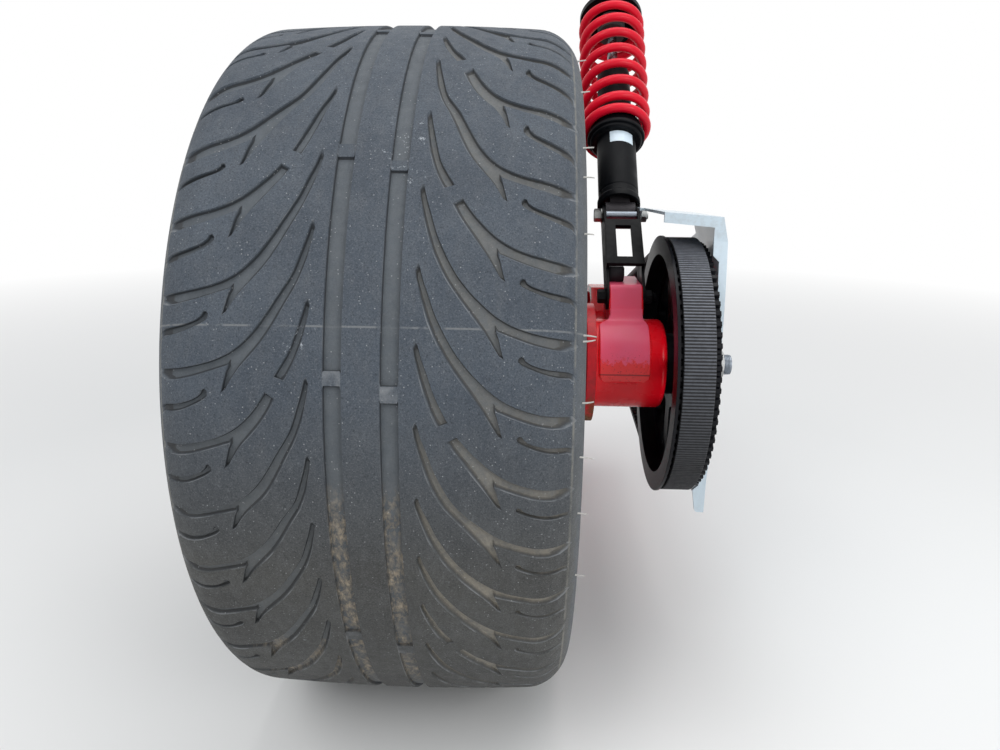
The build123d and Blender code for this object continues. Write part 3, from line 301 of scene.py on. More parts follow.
def belt_rubber():
    """Ribbed belt back, with dust and a painted sky highlight on its ribs, paler on the upper part of the
    loop.
    """
    g = Graph("belt_rubber")
    base = g.mix(g.ramp(g.noise(50, 5), 0.35, 0.7), (0.005, 0.005, 0.006), (0.010, 0.010, 0.012))
    # pale bluish rib tops: dust and a painted sky highlight, stronger towards the top of the loop
    rib_dust_and_sheen = g.times(g.attribute("rib"), g.ramp(g.noise(160, 6, 0.7), 0.2, 0.6, 0.5, 1.0))
    base = g.over(base, (0.20, 0.215, 0.25), rib_dust_and_sheen, g.ramp(g.axis("Z"), -0.02, 0.19, 0.06, 0.80))
    g.set(Base_Color=base, Specular_IOR_Level=0.4)
    g.set(Roughness=g.ramp(g.noise(220, 4), 0.3, 0.7, 0.5, 0.72))
    g.bump(g.noise(1600, 3, 0.6, stretch=(0.35, 1, 1)), 0.4, 0.0003)
    return g.material


def plain_rubber():
    """Clean dark rubber."""
    g = Graph("stop_rubber")
    base = g.mix(g.ramp(g.noise(70, 5), 0.35, 0.7), (0.022, 0.022, 0.023), (0.045, 0.044, 0.043))
    g.set(Base_Color=base, Roughness=g.ramp(g.noise(150, 4), 0.3, 0.7, 0.55, 0.78))
    g.bump(g.noise(900, 3, 0.6), 0.3, 0.0004)
    return g.material


def rusted_paint():
    """Red paint that has given way to rust below the axle."""
    g = Graph("rust_steel")
    patches = g.ramp(g.noise(60, 8, 0.72, 0.5), 0.40, 0.60)
    grain = g.noise(420, 6, 0.75)
    rust = g.mix(grain, (0.10, 0.035, 0.016), (0.30, 0.15, 0.07))
    # the paint ends about 30 mm below the axle
    share = g.ramp(g.math("ADD", g.axis("Z"), g.times(patches, 0.02)), 0.045, 0.02)
    g.set(Base_Color=g.mix(share, g.mix(patches, (0.42, 0.003, 0.010), (0.62, 0.004, 0.014)), rust))
    g.set(Roughness=g.ramp(share, 0.0, 0.7, 0.32, 0.85), Specular_IOR_Level=0.3)
    g.bump(g.times(grain, share), 0.6, 0.0006)
    return g.material


def disc_steel():
    """Ground disc with a turned grain and a light bloom of rust."""
    g = Graph("disc_steel")
    place = {"Location": (0, -AXLE[1] / 1000, -AXLE[2] / 1000), "Scale": (0, 1, 1), "Vector": g.coords}
    spot = g.node("ShaderNodeMapping", place).outputs["Vector"]
    radius = g.node("ShaderNodeVectorMath", {0: spot}, operation="LENGTH").outputs["Value"]
    rings = g.noise(1400, 3, 0.6, coords=g.node("ShaderNodeCombineXYZ", {0: radius}).outputs[0])
    bloom = g.times(g.ramp(g.noise(30, 7, 0.7), 0.45, 0.7), 0.4)
    base = g.mix(rings, (0.42, 0.42, 0.42), (0.60, 0.60, 0.60))
    g.set(Base_Color=g.mix(bloom, base, (0.25, 0.15, 0.09)), Metallic=1.0)
    g.set(Roughness=g.ramp(g.math("ADD", rings, bloom), 0.2, 1.2, 0.22, 0.55))
    g.bump(rings, 0.25, 0.0002)
    return g.material


MATERIALS = {
    "tyre_rubber": tyre_rubber(),
    "belt_rubber": belt_rubber(),
    "stop_rubber": plain_rubber(),
    "rust_steel": rusted_paint(),
    "disc_steel": disc_steel(),
}
for slot_name, settings in {
    "rim_paint": dict(colour=(0.016, 0.017, 0.020), rough=0.38, coat=0.15, dust=0.12, wear=0.2),
    "black_paint": dict(colour=(0.0018, 0.0024, 0.0036), rough=0.42, dust=0.006, wear=0.05, specular=0.1),
    "red_paint": dict(colour=(0.92, 0.003, 0.014), rough=0.22, coat=0.12, coat_rough=0.05, dust=0.004,
                      wear=0.08, wear_colour=(0.40, 0.02, 0.02), specular=0.2),
    "spring_coat": dict(colour=(0.67, 0.003, 0.022), rough=0.32, coat=0.08, coat_rough=0.12, dust=0.008,
                        specular=0.2),
    # the blue cast of this white is painted sky light
    "white_paint": dict(colour=(0.58, 0.685, 0.76), rough=0.32, coat=0.4, coat_rough=0.1, dust=0.04,
                        dust_colour=(0.5, 0.46, 0.38), wear=0.2, wear_colour=(0.30, 0.29, 0.27),
                        mottled=0.03),
}.items():
    MATERIALS[slot_name] = paint(slot_name, **settings)
for slot_name, settings in {
    "zinc": dict(colour=(0.42, 0.43, 0.43), rough=0.30, stain=0.45, stain_colour=(0.09, 0.08, 0.06)),
    "steel": dict(colour=(0.24, 0.27, 0.31), rough=0.36, stain=0.3, stretch=(1, 4, 4)),
    "pulley_black": dict(colour=(0.0035, 0.0038, 0.006), rough=0.36, stain=0.02,
                         stain_colour=(0.03, 0.029, 0.028), metallic=0.0, specular=0.16),
    "chrome_rod": dict(colour=(0.20, 0.20, 0.22), rough=0.16, stain=0.08, grain=0.05),
    "cast_aluminium": dict(colour=(0.035, 0.032, 0.036), rough=0.5, stain=0.3,
                           stain_colour=(0.015, 0.014, 0.014), grain=0.8, stretch=(0.4, 0.4, 0.4),
                           metallic=0.3, specular=0.2),
    "pad_lining": dict(colour=(0.10, 0.095, 0.09), rough=0.75, stain=0.4, grain=0.8, metallic=0.2),
}.items():
    MATERIALS[slot_name] = metal(slot_name, **settings)


def red_with_painted_sheen():
    """Glossy red with a painted pink sky reflection above the axle, with a ragged border and a dark seam
    below it.
    """
    g = Graph("red_painted_sheen")
    height = g.axis("Z")
    ragged = g.math("ADD", height, g.ramp(g.noise(170, 7, 0.8), 0.3, 0.7, -0.009, 0.009))
    # painted reflection: pink above the ragged border for the sky seen in the gloss
    sky_reflection_pink = g.mix(g.ramp(g.noise(30, 4), 0.3, 0.7), (1.0, 0.09, 0.18), (1.0, 0.125, 0.24))
    base = g.mix(g.ramp(ragged, 0.0735, 0.0745), (0.98, 0.045, 0.05), sky_reflection_pink)
    flecks = g.times(g.ramp(g.noise(420, 4, 0.8), 0.60, 0.64), g.ramp(ragged, 0.090, 0.075))
    base = g.over(base, (0.42, 0.004, 0.012), flecks, 0.8)
    base = g.over(base, (0.12, 0.002, 0.004), g.line(height, 0.0608, 0.0010, 0.0004), 0.75)
    g.set(Base_Color=base, Coat_Weight=0.1, Coat_Roughness=0.25, Specular_IOR_Level=0.3)
    g.set(Roughness=g.ramp(g.noise(60, 4), 0.3, 0.7, 0.30, 0.42))
    g.bump(g.noise(120, 3, 0.5), 0.1, 0.0005)
    return g.material


RED_WITH_PAINTED_SHEEN = red_with_painted_sheen()


# Mesh helpers; every length below is in millimetres
def unit(value):
    return max(0.0, min(1.0, value))


def add_piece(name, part, body, slot, centre=AXLE, replaced=(), sharp=30, fields=None):
    """A piece of given vertices and faces at centre, on a body, with its slot's material."""
    mesh = bpy.data.meshes.new(name)
    points = (np.asarray(part[0], float) + np.asarray(centre, float)) * 0.001
    mesh.from_pydata([tuple(p) for p in points], [], [tuple(f) for f in part[1]])
    for key, values in (fields or {}).items():
        mesh.attributes.new(key, "FLOAT", "POINT").data.foreach_set("value", np.asarray(values, np.float32))
    work = bmesh.new()
    work.from_mesh(mesh)
    bmesh.ops.remove_doubles(work, verts=work.verts, dist=2e-6)
    bmesh.ops.recalc_face_normals(work, faces=work.faces)
    work.to_mesh(mesh)
    work.free()
    finish_mesh(mesh, sharp)
    return settle(name, mesh, body, slot, replaced)


def finish_mesh(mesh, sharp):
    mesh.polygons.foreach_set("use_smooth", [True] * len(mesh.polygons))
    mesh.set_sharp_from_angle(angle=math.radians(sharp))
    mesh.update()


def settle(name, mesh, body, slot, replaced=()):
    obj = bpy.data.objects.new(name, mesh)
    SCENE.collection.objects.link(obj)
    mesh.materials.clear()
    mesh.materials.append(MATERIALS[slot])
    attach(obj, body)
    if replaced:
        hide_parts(*replaced)
    return obj


def grid_faces(rows, columns, loop_rows=False, loop_columns=False, base=0):
    """Quads between rows of points; where asked, the last row or column joins the first."""
    faces = []
    for i in range(rows if loop_rows else rows - 1):
        a, b = base + i * columns, base + (i + 1) % rows * columns
        for k in range(columns if loop_columns else columns - 1):
            m = (k + 1) % columns
            faces.append((a + k, a + m, b + m, b + k))
    return faces


def tube_faces(rows, sides):
    """Quads round a tube and its two end faces."""
    last = (rows - 1) * sides
    ends = [tuple(range(sides))[::-1], tuple(range(last, last + sides))]
    return grid_faces(rows, sides, loop_columns=True) + ends


def sheet_faces(rows, width):
    """Faces of a sheet whose rows hold width points on top and as many below, from the far edge back."""
    n = 2 * width
    faces = grid_faces(rows, n, loop_columns=True)
    for a in (0, (rows - 1) * n):
        faces += [(a + k, a + k + 1, a + n - 2 - k, a + n - 1 - k) for k in range(width - 1)]
    return faces


def turned(profile, steps=64):
    """An (x, radius) profile turned about the X axis; a closed profile repeats its first point."""
    closed = profile[0] == profile[-1]
    points = profile[:-1] if closed else profile
    n = len(points)
    verts = []
    for i in range(steps):
        a = 2 * math.pi * i / steps
        verts += [(x, r * math.sin(a), r * math.cos(a)) for x, r in points]
    faces = grid_faces(steps, n, True, closed)
    if not closed:
        for k, flip in ((0, 1), (n - 1, -1)):
            if profile[k][1] > 1e-6:
                faces.append([i * n + k for i in range(steps)][::flip])
    return verts, faces


def shift(part, y, z):
    verts, faces = part
    return [(a, b + y, c + z) for a, b, c in verts], faces


def joined(*parts):
    verts, faces = [], []
    for part_verts, part_faces in parts:
        base = len(verts)
        verts += part_verts
        faces += [tuple(base + i for i in face) for face in part_faces]
    return verts, faces


def moved(part, matrix):
    verts, faces = part
    return [tuple(matrix @ Vector(v)) for v in verts], faces


def prism(outline, x0, x1):
    """An outline of (y, z) points given thickness along X."""
    return [(x, y, z) for x in (x0, x1) for y, z in outline], tube_faces(2, len(outline))


def hex_head(x0, x1, across, turn=0.0, both=False):
    """Hexagon with the corners turned off at its outer end, or at both, as a real bolt head or nut has."""
    steps = 72
    inner = across / 2
    direction = 1 if x1 > x0 else -1
    height = abs(x1 - x0)
    verts = []
    for level in range(5):
        for i in range(steps):
            a = math.radians(turn) + 2 * math.pi * i / steps
            local = ((a - math.radians(turn)) % (math.pi / 3)) - math.pi / 6
            flat = inner / math.cos(local)
            drop = max(0.0, flat - inner * 0.985) * 0.62
            h, r = ((0.0, min(flat, inner * 0.97) if both else flat), (drop if both else 0.0, flat),
                    (height - drop, flat), (height, inner * 0.97), (height, inner * 0.55))[level]
            verts.append((x0 + direction * h, r * math.cos(a), r * math.sin(a)))
    return verts, tube_faces(5, steps)


def thread(x0, x1, radius, pitch, depth):
    """Turned stand-in for a thread: V grooves at the thread's pitch, with a chamfered end."""
    direction = 1 if x1 > x0 else -1
    profile = [(x0, 0.0), (x0, radius - depth)]
    count = int(abs(x1 - x0 - direction * 1.5) / pitch)
    for i in range(count):
        profile.append((x0 + direction * (i + 0.5) * pitch, radius))
        profile.append((x0 + direction * (i + 1) * pitch, radius - depth))
    profile += [(x1 - direction * 0.8, radius - depth), (x1, radius - 2 * depth), (x1, 0.0)]
    return turned(profile, 40)


def rounded(points, radius, steps):
    """Profile with its inner corners rounded; the first and last points stay."""
    out = [points[0]]
    for a, b, c in zip(points, points[1:], points[2:]):
        va = np.array(a, float) - b
        vc = np.array(c, float) - b
        la, lc = np.linalg.norm(va), np.linalg.norm(vc)
        cut = min(radius, la * 0.45, lc * 0.45)
        p, q = np.array(b) + va / la * cut, np.array(b) + vc / lc * cut
        for i in range(steps + 1):
            t = i / steps
            out.append(tuple((1 - t) ** 2 * p + 2 * t * (1 - t) * np.array(b) + t**2 * q))
    return out + [points[-1]]


def dress(node, body, slot, width, angle):
    """A copy of a CAD node with clean faces and rounded edges sharper than angle, which replaces it."""
    work = bmesh.new()
    work.from_mesh(NODES[node].data)
    bmesh.ops.remove_doubles(work, verts=work.verts, dist=2e-6)
    bmesh.ops.dissolve_limit(work, angle_limit=math.radians(0.6), verts=work.verts, edges=work.edges,
                             use_dissolve_boundaries=False, delimit=set())
    sharp = [e for e in work.edges if len(e.link_faces) == 2 and e.calc_face_angle(0) > math.radians(angle)]
    if sharp:
        bmesh.ops.bevel(work, geom=sharp, offset=width * 0.001, offset_type="OFFSET", segments=2,
                        profile=0.5, affect="EDGES", clamp_overlap=True, loop_slide=True)
    bmesh.ops.triangulate(work, faces=[f for f in work.faces if len(f.verts) > 4])
    mesh = bpy.data.meshes.new(node + "_dressed")
    work.to_mesh(mesh)
    work.free()
    finish_mesh(mesh, 25)
    obj = settle(node + "_dressed", mesh, body, slot, (node,))
    obj.modifiers.new("weighted", "WEIGHTED_NORMAL").keep_sharp = True


# Tyre
LEFT_TIPS = (64.6, 52.8, 41.2, 31.4, 21.9, 12.8, 3.6, -4.9, -13.4, -21.5, -31.0)
RIGHT_TIPS = (60.1, 48.0, 36.4, 26.2, 17.1, 7.8, -1.3, -9.4, -17.5, -26.2, -36.2)
PITCH_COUNT = 38
PITCH = 51.0
ROWS = 10
STRIP_IN, STRIP_OUT = 26.7, 154.0
GROOVE_DEPTH = 3.4
CELL_LOW = -0.3 * PITCH
LINE_GAP = 3.2


def pitch_angles():
    """Angle above the rear horizontal, in degrees, at each half pitch round the tyre."""
    known = [a for pair in zip(LEFT_TIPS, RIGHT_TIPS) for a in pair]
    rest = np.linspace(known[-1], LEFT_TIPS[0] - 360, 2 * PITCH_COUNT - len(known) + 2)[1:-1]
    return np.array(known + list(rest))


HALF_PITCHES = pitch_angles()


def angle_at(phase):
    """Smooth angle in radians at any phase, counted in pitches from the first tip."""
    t = np.asarray(phase, float) * 2
    i = np.floor(t).astype(int)
    f = t - i
    n = len(HALF_PITCHES)

    def knot(k):
        return HALF_PITCHES[k % n] - 360.0 * (k // n)

    p0, p1, p2, p3 = knot(i - 1), knot(i), knot(i + 1), knot(i + 2)
    m1, m2 = (p2 - p0) / 2, (p3 - p1) / 2
    value = ((2 * f**3 - 3 * f**2 + 1) * p1 + (f**3 - 2 * f**2 + f) * m1
             + (-2 * f**3 + 3 * f**2) * p2 + (f**3 - f**2) * m2)
    return np.radians(value)


def tread_radius(x):
    edge = np.clip((np.abs(x) - SHOULDER_START) / SHOULDER_RADIUS, 0, 1)
    crown = CROWN_DROP * (np.asarray(x, float) / TYRE_HALF_WIDTH) ** 2
    return TYRE_RADIUS - crown - SHOULDER_RADIUS * (1 - np.sqrt(1 - edge**2))


# x from the centre plane, distance down the tread from the groove's tip
GROOVE_LINE = ((26, 0), (38, 0), (40, 8), (43, 17), (47.5, 31), (52, 41), (57.4, 51), (63.3, 60),
               (71, 70.5), (77, 77), (84, 83.5), (94, 89), (105, 93), (117.5, 96.7), (130, 99.4),
               (142, 101.2), (150, 102), (160, 102))
UPPER_EDGE = ((39.4, -1.0), (41.9, 8), (44.8, 16), (50, 30), (55, 39.3), (61, 49), (67, 58), (75, 68),
              (81, 74), (87.5, 79.6), (95, 84.6), (105, 89.2), (117.5, 92.8), (130, 95), (142, 96),
              (150.6, 96.4))
SHOULDER_END = ((152.4, 97.4), (151.4, 100.2), (147.5, 102.8), (142, 104.2))
SHOULDER_EDGE = ((134, 103.9), (125, 102.4), (117.5, 100.6), (105, 96.8), (93.9, 93.0))
FORK_LEFT = ((95.2, 97.5), (97.0, 104), (99.0, 111.0))
FORK_TIP = ((98.7, 112.6),)
LOWER_EDGE = ((97.2, 111.2), (94.5, 107), (89.5, 99.8), (85, 94), (80, 88.6), (73.5, 81.2), (67, 73.2),
              (59.6, 62.6), (53.8, 53), (48.2, 43), (43.6, 33), (39.2, 18), (37.2, 9), (36.0, 1.0))
TIP_END = ((36.4, -1.6), (37.8, -2.6))
SHORT_UPPER = ((112.6, 108.8), (113.9, 111.2), (117, 113.4), (123, 115.6), (131, 117.4), (139, 118.3),
               (144.6, 118.9), (147.6, 120.4))
SHORT_END = ((148.8, 122.8), (148.9, 126.6), (147.4, 127.6), (146.2, 125.8))
SHORT_LOWER = ((144.6, 124.0), (138, 123.4), (130, 121.9), (122.5, 119.6), (115, 116.6), (110.6, 114.4))
SHORT_HOOK = ((108.4, 112.2), (108.6, 109.6), (110.4, 108.1))


# Tread: curves in (x, distance down) and their cells
def arrays(*points):
    return [np.array(p, float) for p in points]


def smooth_line(points):
    """Points about LINE_GAP apart on a smooth curve through points."""
    points = arrays(*points)
    out = []
    for i in range(len(points) - 1):
        p0 = points[i - 1] if i else 2 * points[0] - points[1]
        p1, p2 = points[i], points[i + 1]
        p3 = points[i + 2] if i + 2 < len(points) else 2 * p2 - p1
        count = max(1, round(np.linalg.norm(p2 - p1) / LINE_GAP))
        for k in range(count):
            t = k / count
            out.append(0.5 * (2 * p1 + (p2 - p0) * t + (2 * p0 - 5 * p1 + 4 * p2 - p3) * t**2
                              + (3 * p1 - p0 - 3 * p2 + p3) * t**3))
    out.append(points[-1])
    return out


def offset_line(points, amount):
    """Points moved sideways by amount, which may be a number or a function of the point."""
    out = []
    for i, p in enumerate(points):
        a = points[max(0, i - 1)]
        b = points[min(len(points) - 1, i + 1)]
        along = (b - a) / np.linalg.norm(b - a)
        out.append(p + np.array((-along[1], along[0])) * (amount(p) if callable(amount) else amount))
    return out


def groove_outlines(barred):
    """Outlines of one pitch's grooves, as pairs of the one at the top and the one at the floor."""
    upper, lower, shoulder = smooth_line(UPPER_EDGE), smooth_line(LOWER_EDGE), smooth_line(SHOULDER_EDGE)
    fork = smooth_line((SHOULDER_EDGE[-1],) + FORK_LEFT)[1:]

    def gentle(p):
        return min(3.0, 0.9 + 0.07 * max(0.0, p[1])) if p[1] < 86 else max(0.7, 3.0 - (p[1] - 86) * 0.1)

    floor_upper, floor_lower = offset_line(upper, 0.9), offset_line(lower, gentle)
    tail = arrays(*SHOULDER_END) + shoulder + fork + arrays(*FORK_TIP)
    tail_floor = arrays((146.5, 99.6)) + [p for p in offset_line(shoulder, 2.0) if p[0] > 96.5]
    tail_floor += arrays((94.6, 91.4)) + [p for p in offset_line(fork, 0.6) if 95.5 < p[1] < 108.6]
    tip = arrays(*TIP_END)
    if barred:
        pairs = [
            ([p for p in upper if p[1] < 49] + arrays((61, 49.0), (53.1, 51.6))
             + [p for p in lower if p[1] < 51] + tip,
             [p for p in floor_upper if 1 < p[1] < 47] + arrays((59.4, 48.4), (56.4, 49.6))
             + [p for p in floor_lower if 1.5 < p[1] < 47.5]),
            (arrays((67, 58.2)) + [p for p in upper if p[1] > 59.5] + tail
             + [p for p in lower if p[1] > 63.2] + arrays((59.8, 62.4)),
             arrays((67.4, 60.2)) + [p for p in floor_upper if p[1] > 62 and p[0] < 147] + tail_floor
             + [p for p in floor_lower if 66 < p[1] < 108.6] + arrays((63.6, 61.9))),
        ]
    else:
        pairs = [(upper + tail + lower + tip,
                  [p for p in floor_upper if p[1] > 1 and p[0] < 147] + tail_floor
                  + [p for p in floor_lower if 1.5 < p[1] < 108.6])]
    upper, lower = smooth_line(SHORT_UPPER), smooth_line(SHORT_LOWER)
    floor = [p for p in offset_line(upper, 0.7) if p[0] > 111.5] + arrays((147.6, 124.0))
    floor += [p for p in offset_line(lower, 1.5) if p[0] < 145] + arrays((109.6, 111.6), (110.4, 109.7))
    return pairs + [(upper + arrays(*SHORT_END) + lower + arrays(*SHORT_HOOK), floor)]


LINE_X, LINE_D = arrays(*zip(*GROOVE_LINE))


def straighten(p):
    """From (x, distance down) to the sheared cell, where the main groove lies level."""
    return (p[0], p[1] - np.interp(p[0], LINE_X, LINE_D))


def inside(point, outline):
    x, y = point
    hit = False
    for (x1, y1), (x2, y2) in zip(outline, outline[1:] + outline[:1]):
        if (y1 > y) != (y2 > y) and x < (x2 - x1) * (y - y1) / (y2 - y1) + x1:
            hit = not hit
    return hit


def triangulated(points, depths, edges):
    """Triangles over points with the edges kept: positions, depths and faces."""
    verts, _, faces, origins = delaunay_2d_cdt([Vector(p) for p in points], edges, [], 0, 1e-5)[:4]
    depths = [max((depths[k] for k in origin), default=0.0) for origin in origins]
    return [tuple(v) for v in verts], depths, [tuple(f) for f in faces]


def wall_fade(x):
    """Share of the grooves' depth that is left towards the tread's edge."""
    return 1.0 if x < 138 else max(0.35, 1 - (x - 138) / 16)


def lateral_cell(barred):
    """One pitch of the tread beside the middle: positions, depths and faces in the sheared cell."""
    high = CELL_LOW + PITCH
    columns = [STRIP_IN, 30, 33.5] + list(np.arange(37, 147, 4.6)) + [148, 150, 152, STRIP_OUT]
    points = [(x, y) for y in (CELL_LOW, high) for x in columns]
    for k in range(1, ROWS):
        points += [(x, CELL_LOW + (high - CELL_LOW) * k / ROWS) for x in (STRIP_IN, STRIP_OUT)]
    depths = [0.0] * len(points)
    edges, tops, floors = [], [], []
    for pair in groove_outlines(barred):
        for outline, level, store in zip(pair, (0.0, GROOVE_DEPTH), (tops, floors)):
            flat = [straighten(p) for p in outline]
            store.append(flat)
            base, n = len(points), len(flat)
            points += flat
            depths += [level * wall_fade(x) for x, y in flat]
            edges += [(base + i, base + (i + 1) % n) for i in range(n)]
    marks = [np.array(p) for p in points]
    for x in columns[1:-1]:
        for k in range(1, ROWS):
            spot = (x, CELL_LOW + PITCH * k / ROWS)
            low = any(inside(spot, outline) for outline in floors)
            wall = not low and any(inside(spot, outline) for outline in tops)
            if not wall and min(np.hypot(*(mark - spot)) for mark in marks) >= 1.4:
                points.append(spot)
                depths.append(GROOVE_DEPTH * wall_fade(x) if low else 0.0)
    return triangulated(points, depths, edges)


FLOOR_XS = (14.2, 18, 21.9, 25.8)
MIDDLE_XS = (-26.7, -25.8, -21.9, -18, -14.2, -13.3, -6.6, 0.0, 6.6, 13.3, *FLOOR_XS, 26.7)
BAR_SLOPE = 0.9
# Tie bars across the two round grooves, by pitch: side, start, end and depth below the tread
MIDDLE_BARS = {
    2: ((-1, -6.1, 2.0, 1.0), (1, 4.6, 12.2, 1.0)),
    5: ((-1, -6.6, 2.8, 0.2), (1, 2.8, 12.2, 0.2)),
    9: ((-1, 13.3, 23.0, 0.7),),
    10: ((1, -20.0, -10.0, 0.7),),
}
# Pitches whose bent groove has a tie bar, on the left and on the right
BARRED = {-1: (1, 4), 1: (1, 4, 8)}


def middle_cell(bars):
    """One pitch of the tread's middle, with its two round grooves and their tie bars."""
    points, depths, edges = [], [], []
    for y in (PITCH * (k / ROWS - 0.5) for k in range(ROWS + 1)):
        for x in MIDDLE_XS:
            low = 13.9 < abs(x) < 26.0
            beside = (bar for bar in bars if bar[0] * x > 0)
            if low and any(start - BAR_SLOPE < y < end + BAR_SLOPE for _, start, end, _ in beside):
                continue
            points.append((x, y))
            depths.append(GROOVE_DEPTH if low else 0.0)
    for side, start, end, level in bars:
        base = len(points)
        for y in (start - BAR_SLOPE, start, end, end + BAR_SLOPE):
            points += [(side * x, y) for x in FLOOR_XS]
            depths += [level if start <= y <= end else GROOVE_DEPTH] * 4
        edges += [(base + 4 * row + i, base + 4 * row + i + 1) for row in range(4) for i in range(3)]
    index = {(round(x, 3), round(y, 3)): i for i, (x, y) in enumerate(points)}
    for x in MIDDLE_XS:
        line = sorted((y, i) for (px, y), i in index.items() if abs(px - x) < 1e-3)
        edges += [(a[1], b[1]) for a, b in zip(line, line[1:])]
    return triangulated(points, depths, edges)


# Right flank below the shoulder, over the bead to the middle of the inner face, as (x, radius)
FLANK = ((158.15, 303.5), (158.2, 300.0), (157.9, 297.8), (157.0, 297.2), (156.9, 293.5),
         (157.6, 292.9), (157.7, 290.5), (157.0, 289.9), (156.8, 285.5), (156.6, 281.6),
         (155.6, 278.6), (153.2, 277.2), (149.0, 276.2), (144.5, 275.6), (141.2, 273.0),
         (139.6, 268.5), (139.3, 262.0), (139.0, 256.4), (137.2, 254.4), (128.0, 254.3),
         (120.5, 254.4), (119.4, 256.0), (124.0, 266.0), (136.0, 282.0), (147.0, 296.0),
         (148.6, 306.0), (141.0, 322.0), (120.0, 328.5), (LINER_X, LINER_RADIUS))


def make_tyre():
    """Tread with its grooves, both flanks and the inner face, with the fields that the material reads."""
    cells = {key: lateral_cell(key) for key in (False, True)}
    verts, faces = [], []
    fields = {key: [] for key in TYRE_FIELDS}

    def put(x, r, angle, *values):
        verts.append((x, -r * math.cos(angle), r * math.sin(angle)))
        for key, value in zip(TYRE_FIELDS, values):
            fields[key].append(value)

    def add(points, levels, cell_faces, phases, xs):
        base = len(verts)
        for x, level, phase in zip(xs, levels, phases):
            angle = float(angle_at(phase))
            degrees = math.degrees(angle)
            degrees -= 360 * round(degrees / 360)
            # below is 1 under the axle's level; it lays dust and, as the low field, the painted ground-light
            # tone
            below = unit((12 - degrees) / 24) if degrees > -90 else 1.0
            below *= unit((degrees + 150) / 30)
            dust = (0.35 if x > 27 else 0.1) * (1 - below)
            dust += (1.0 if x > 27 else 0.22 if x < -27 else 0.10) * below
            muddy = unit((1 - degrees) / 6) * unit((degrees + 50) / 10)
            if abs(x) > 27:
                muddy *= 0.9 if -112 < x < -27 and degrees < -27 else 0.0
            sunk = level > 1
            # depth runs square to the surface, which turns outwards on the shoulder
            lean = math.asin(unit((abs(x) - SHOULDER_START) / SHOULDER_RADIUS))
            r = float(tread_radius(x)) - math.cos(lean) * level
            put(x - math.copysign(math.sin(lean) * level, x), r, angle, min(1.0, level / GROOVE_DEPTH),
                dust if sunk else 0.0, unit((abs(x) - 148.5) / 2), below, muddy if sunk else 0.0)
        faces.extend(tuple(base + i for i in face) for face in cell_faces)

    for side, lead in ((-1, 0.0), (1, 0.5)):
        for i in range(PITCH_COUNT):
            points, levels, cell_faces = cells[i in BARRED[side] or (i > 11 and i % 7 in (2, 5))]
            xs = [side * p[0] for p in points]
            phases = [i + lead + (p[1] + np.interp(p[0], LINE_X, LINE_D)) / PITCH for p in points]
            add(points, levels, cell_faces if side > 0 else [f[::-1] for f in cell_faces], phases, xs)
    for i in range(PITCH_COUNT):
        bars = MIDDLE_BARS.get(i, MIDDLE_BARS[2] if i > 12 and i % 7 in (2, 6) else ())
        points, levels, cell_faces = middle_cell(bars)
        add(points, levels, cell_faces, [i + p[1] / PITCH for p in points], [p[0] for p in points])
    angles = [float(angle_at(k / ROWS)) for k in range(PITCH_COUNT * ROWS)]
    rings = [(x, float(tread_radius(x))) for x in (STRIP_OUT, 155.2, 156.4, 157.3, 157.9)] + list(FLANK)
    for side in (-1, 1):
        quads = grid_faces(len(angles), len(rings), loop_rows=True, base=len(verts))
        for angle in angles:
            for x, r in rings:
                put(side * x, r, angle, 0.0, 0.0, 1.0, 0.3, 0.0)
        faces += [quad[::side] for quad in quads]
    # inner liner between the two flanks
    faces += grid_faces(len(angles), 3, loop_rows=True, base=len(verts))
    for angle in angles:
        for x in (-LINER_X, 0.0, LINER_X):
            put(x, LINER_RADIUS, angle, 0.0, 0.0, 0.0, 0.0, 0.0)
    add_piece("tyre_tread", (verts, faces), "wheel", "tyre_rubber", AXLE, ("tyre",), 28, fields)


make_tyre()


# Angles of the mould's vents above the rear horizontal
NIB_ANGLES = (60.5, 46.8, 41.5, 32.8, 19.0, 18.2, 10.2, 3.0, -5.2, -16.5,
              78, 95, 121, 140, 171, 202, 233, 260)


def make_nibs():
    """Thin rubber hairs left by the mould's vents on the right shoulder and flank."""
    draw = random.Random(7)
    parts = []
    for degrees in NIB_ANGLES:
        angle = math.radians(degrees)
        x = 155.0 + draw.uniform(-0.8, 0.8)
        r = float(tread_radius(x)) - 0.3
        length = draw.uniform(7.0, 10.0)
        lean = draw.uniform(-0.15, 0.15)
        foot = Vector((x, -r * math.cos(angle), r * math.sin(angle)))
        out = Vector((1.0, -math.cos(angle) * 0.12, math.sin(angle) * 0.12)).normalized()
        side = Vector((0, math.sin(angle), math.cos(angle)))
        across = out.cross(side).normalized()
        verts = []
        for t in (0.0, 0.25, 0.5, 0.75, 1.0):
            centre = foot + out * length * t + side * lean * length * t * t
            radius = 0.75 * (1 - 0.4 * t)
            verts += [tuple(centre + (side * math.cos(a) + across * math.sin(a)) * radius)
                      for a in (i * math.pi / 3 for i in range(6))]
        parts.append((verts, tube_faces(5, 6)))
    piece = add_piece("tyre_nibs", joined(*parts), "wheel", "tyre_rubber")
    piece.data.materials[0] = nib_rubber()


make_nibs()


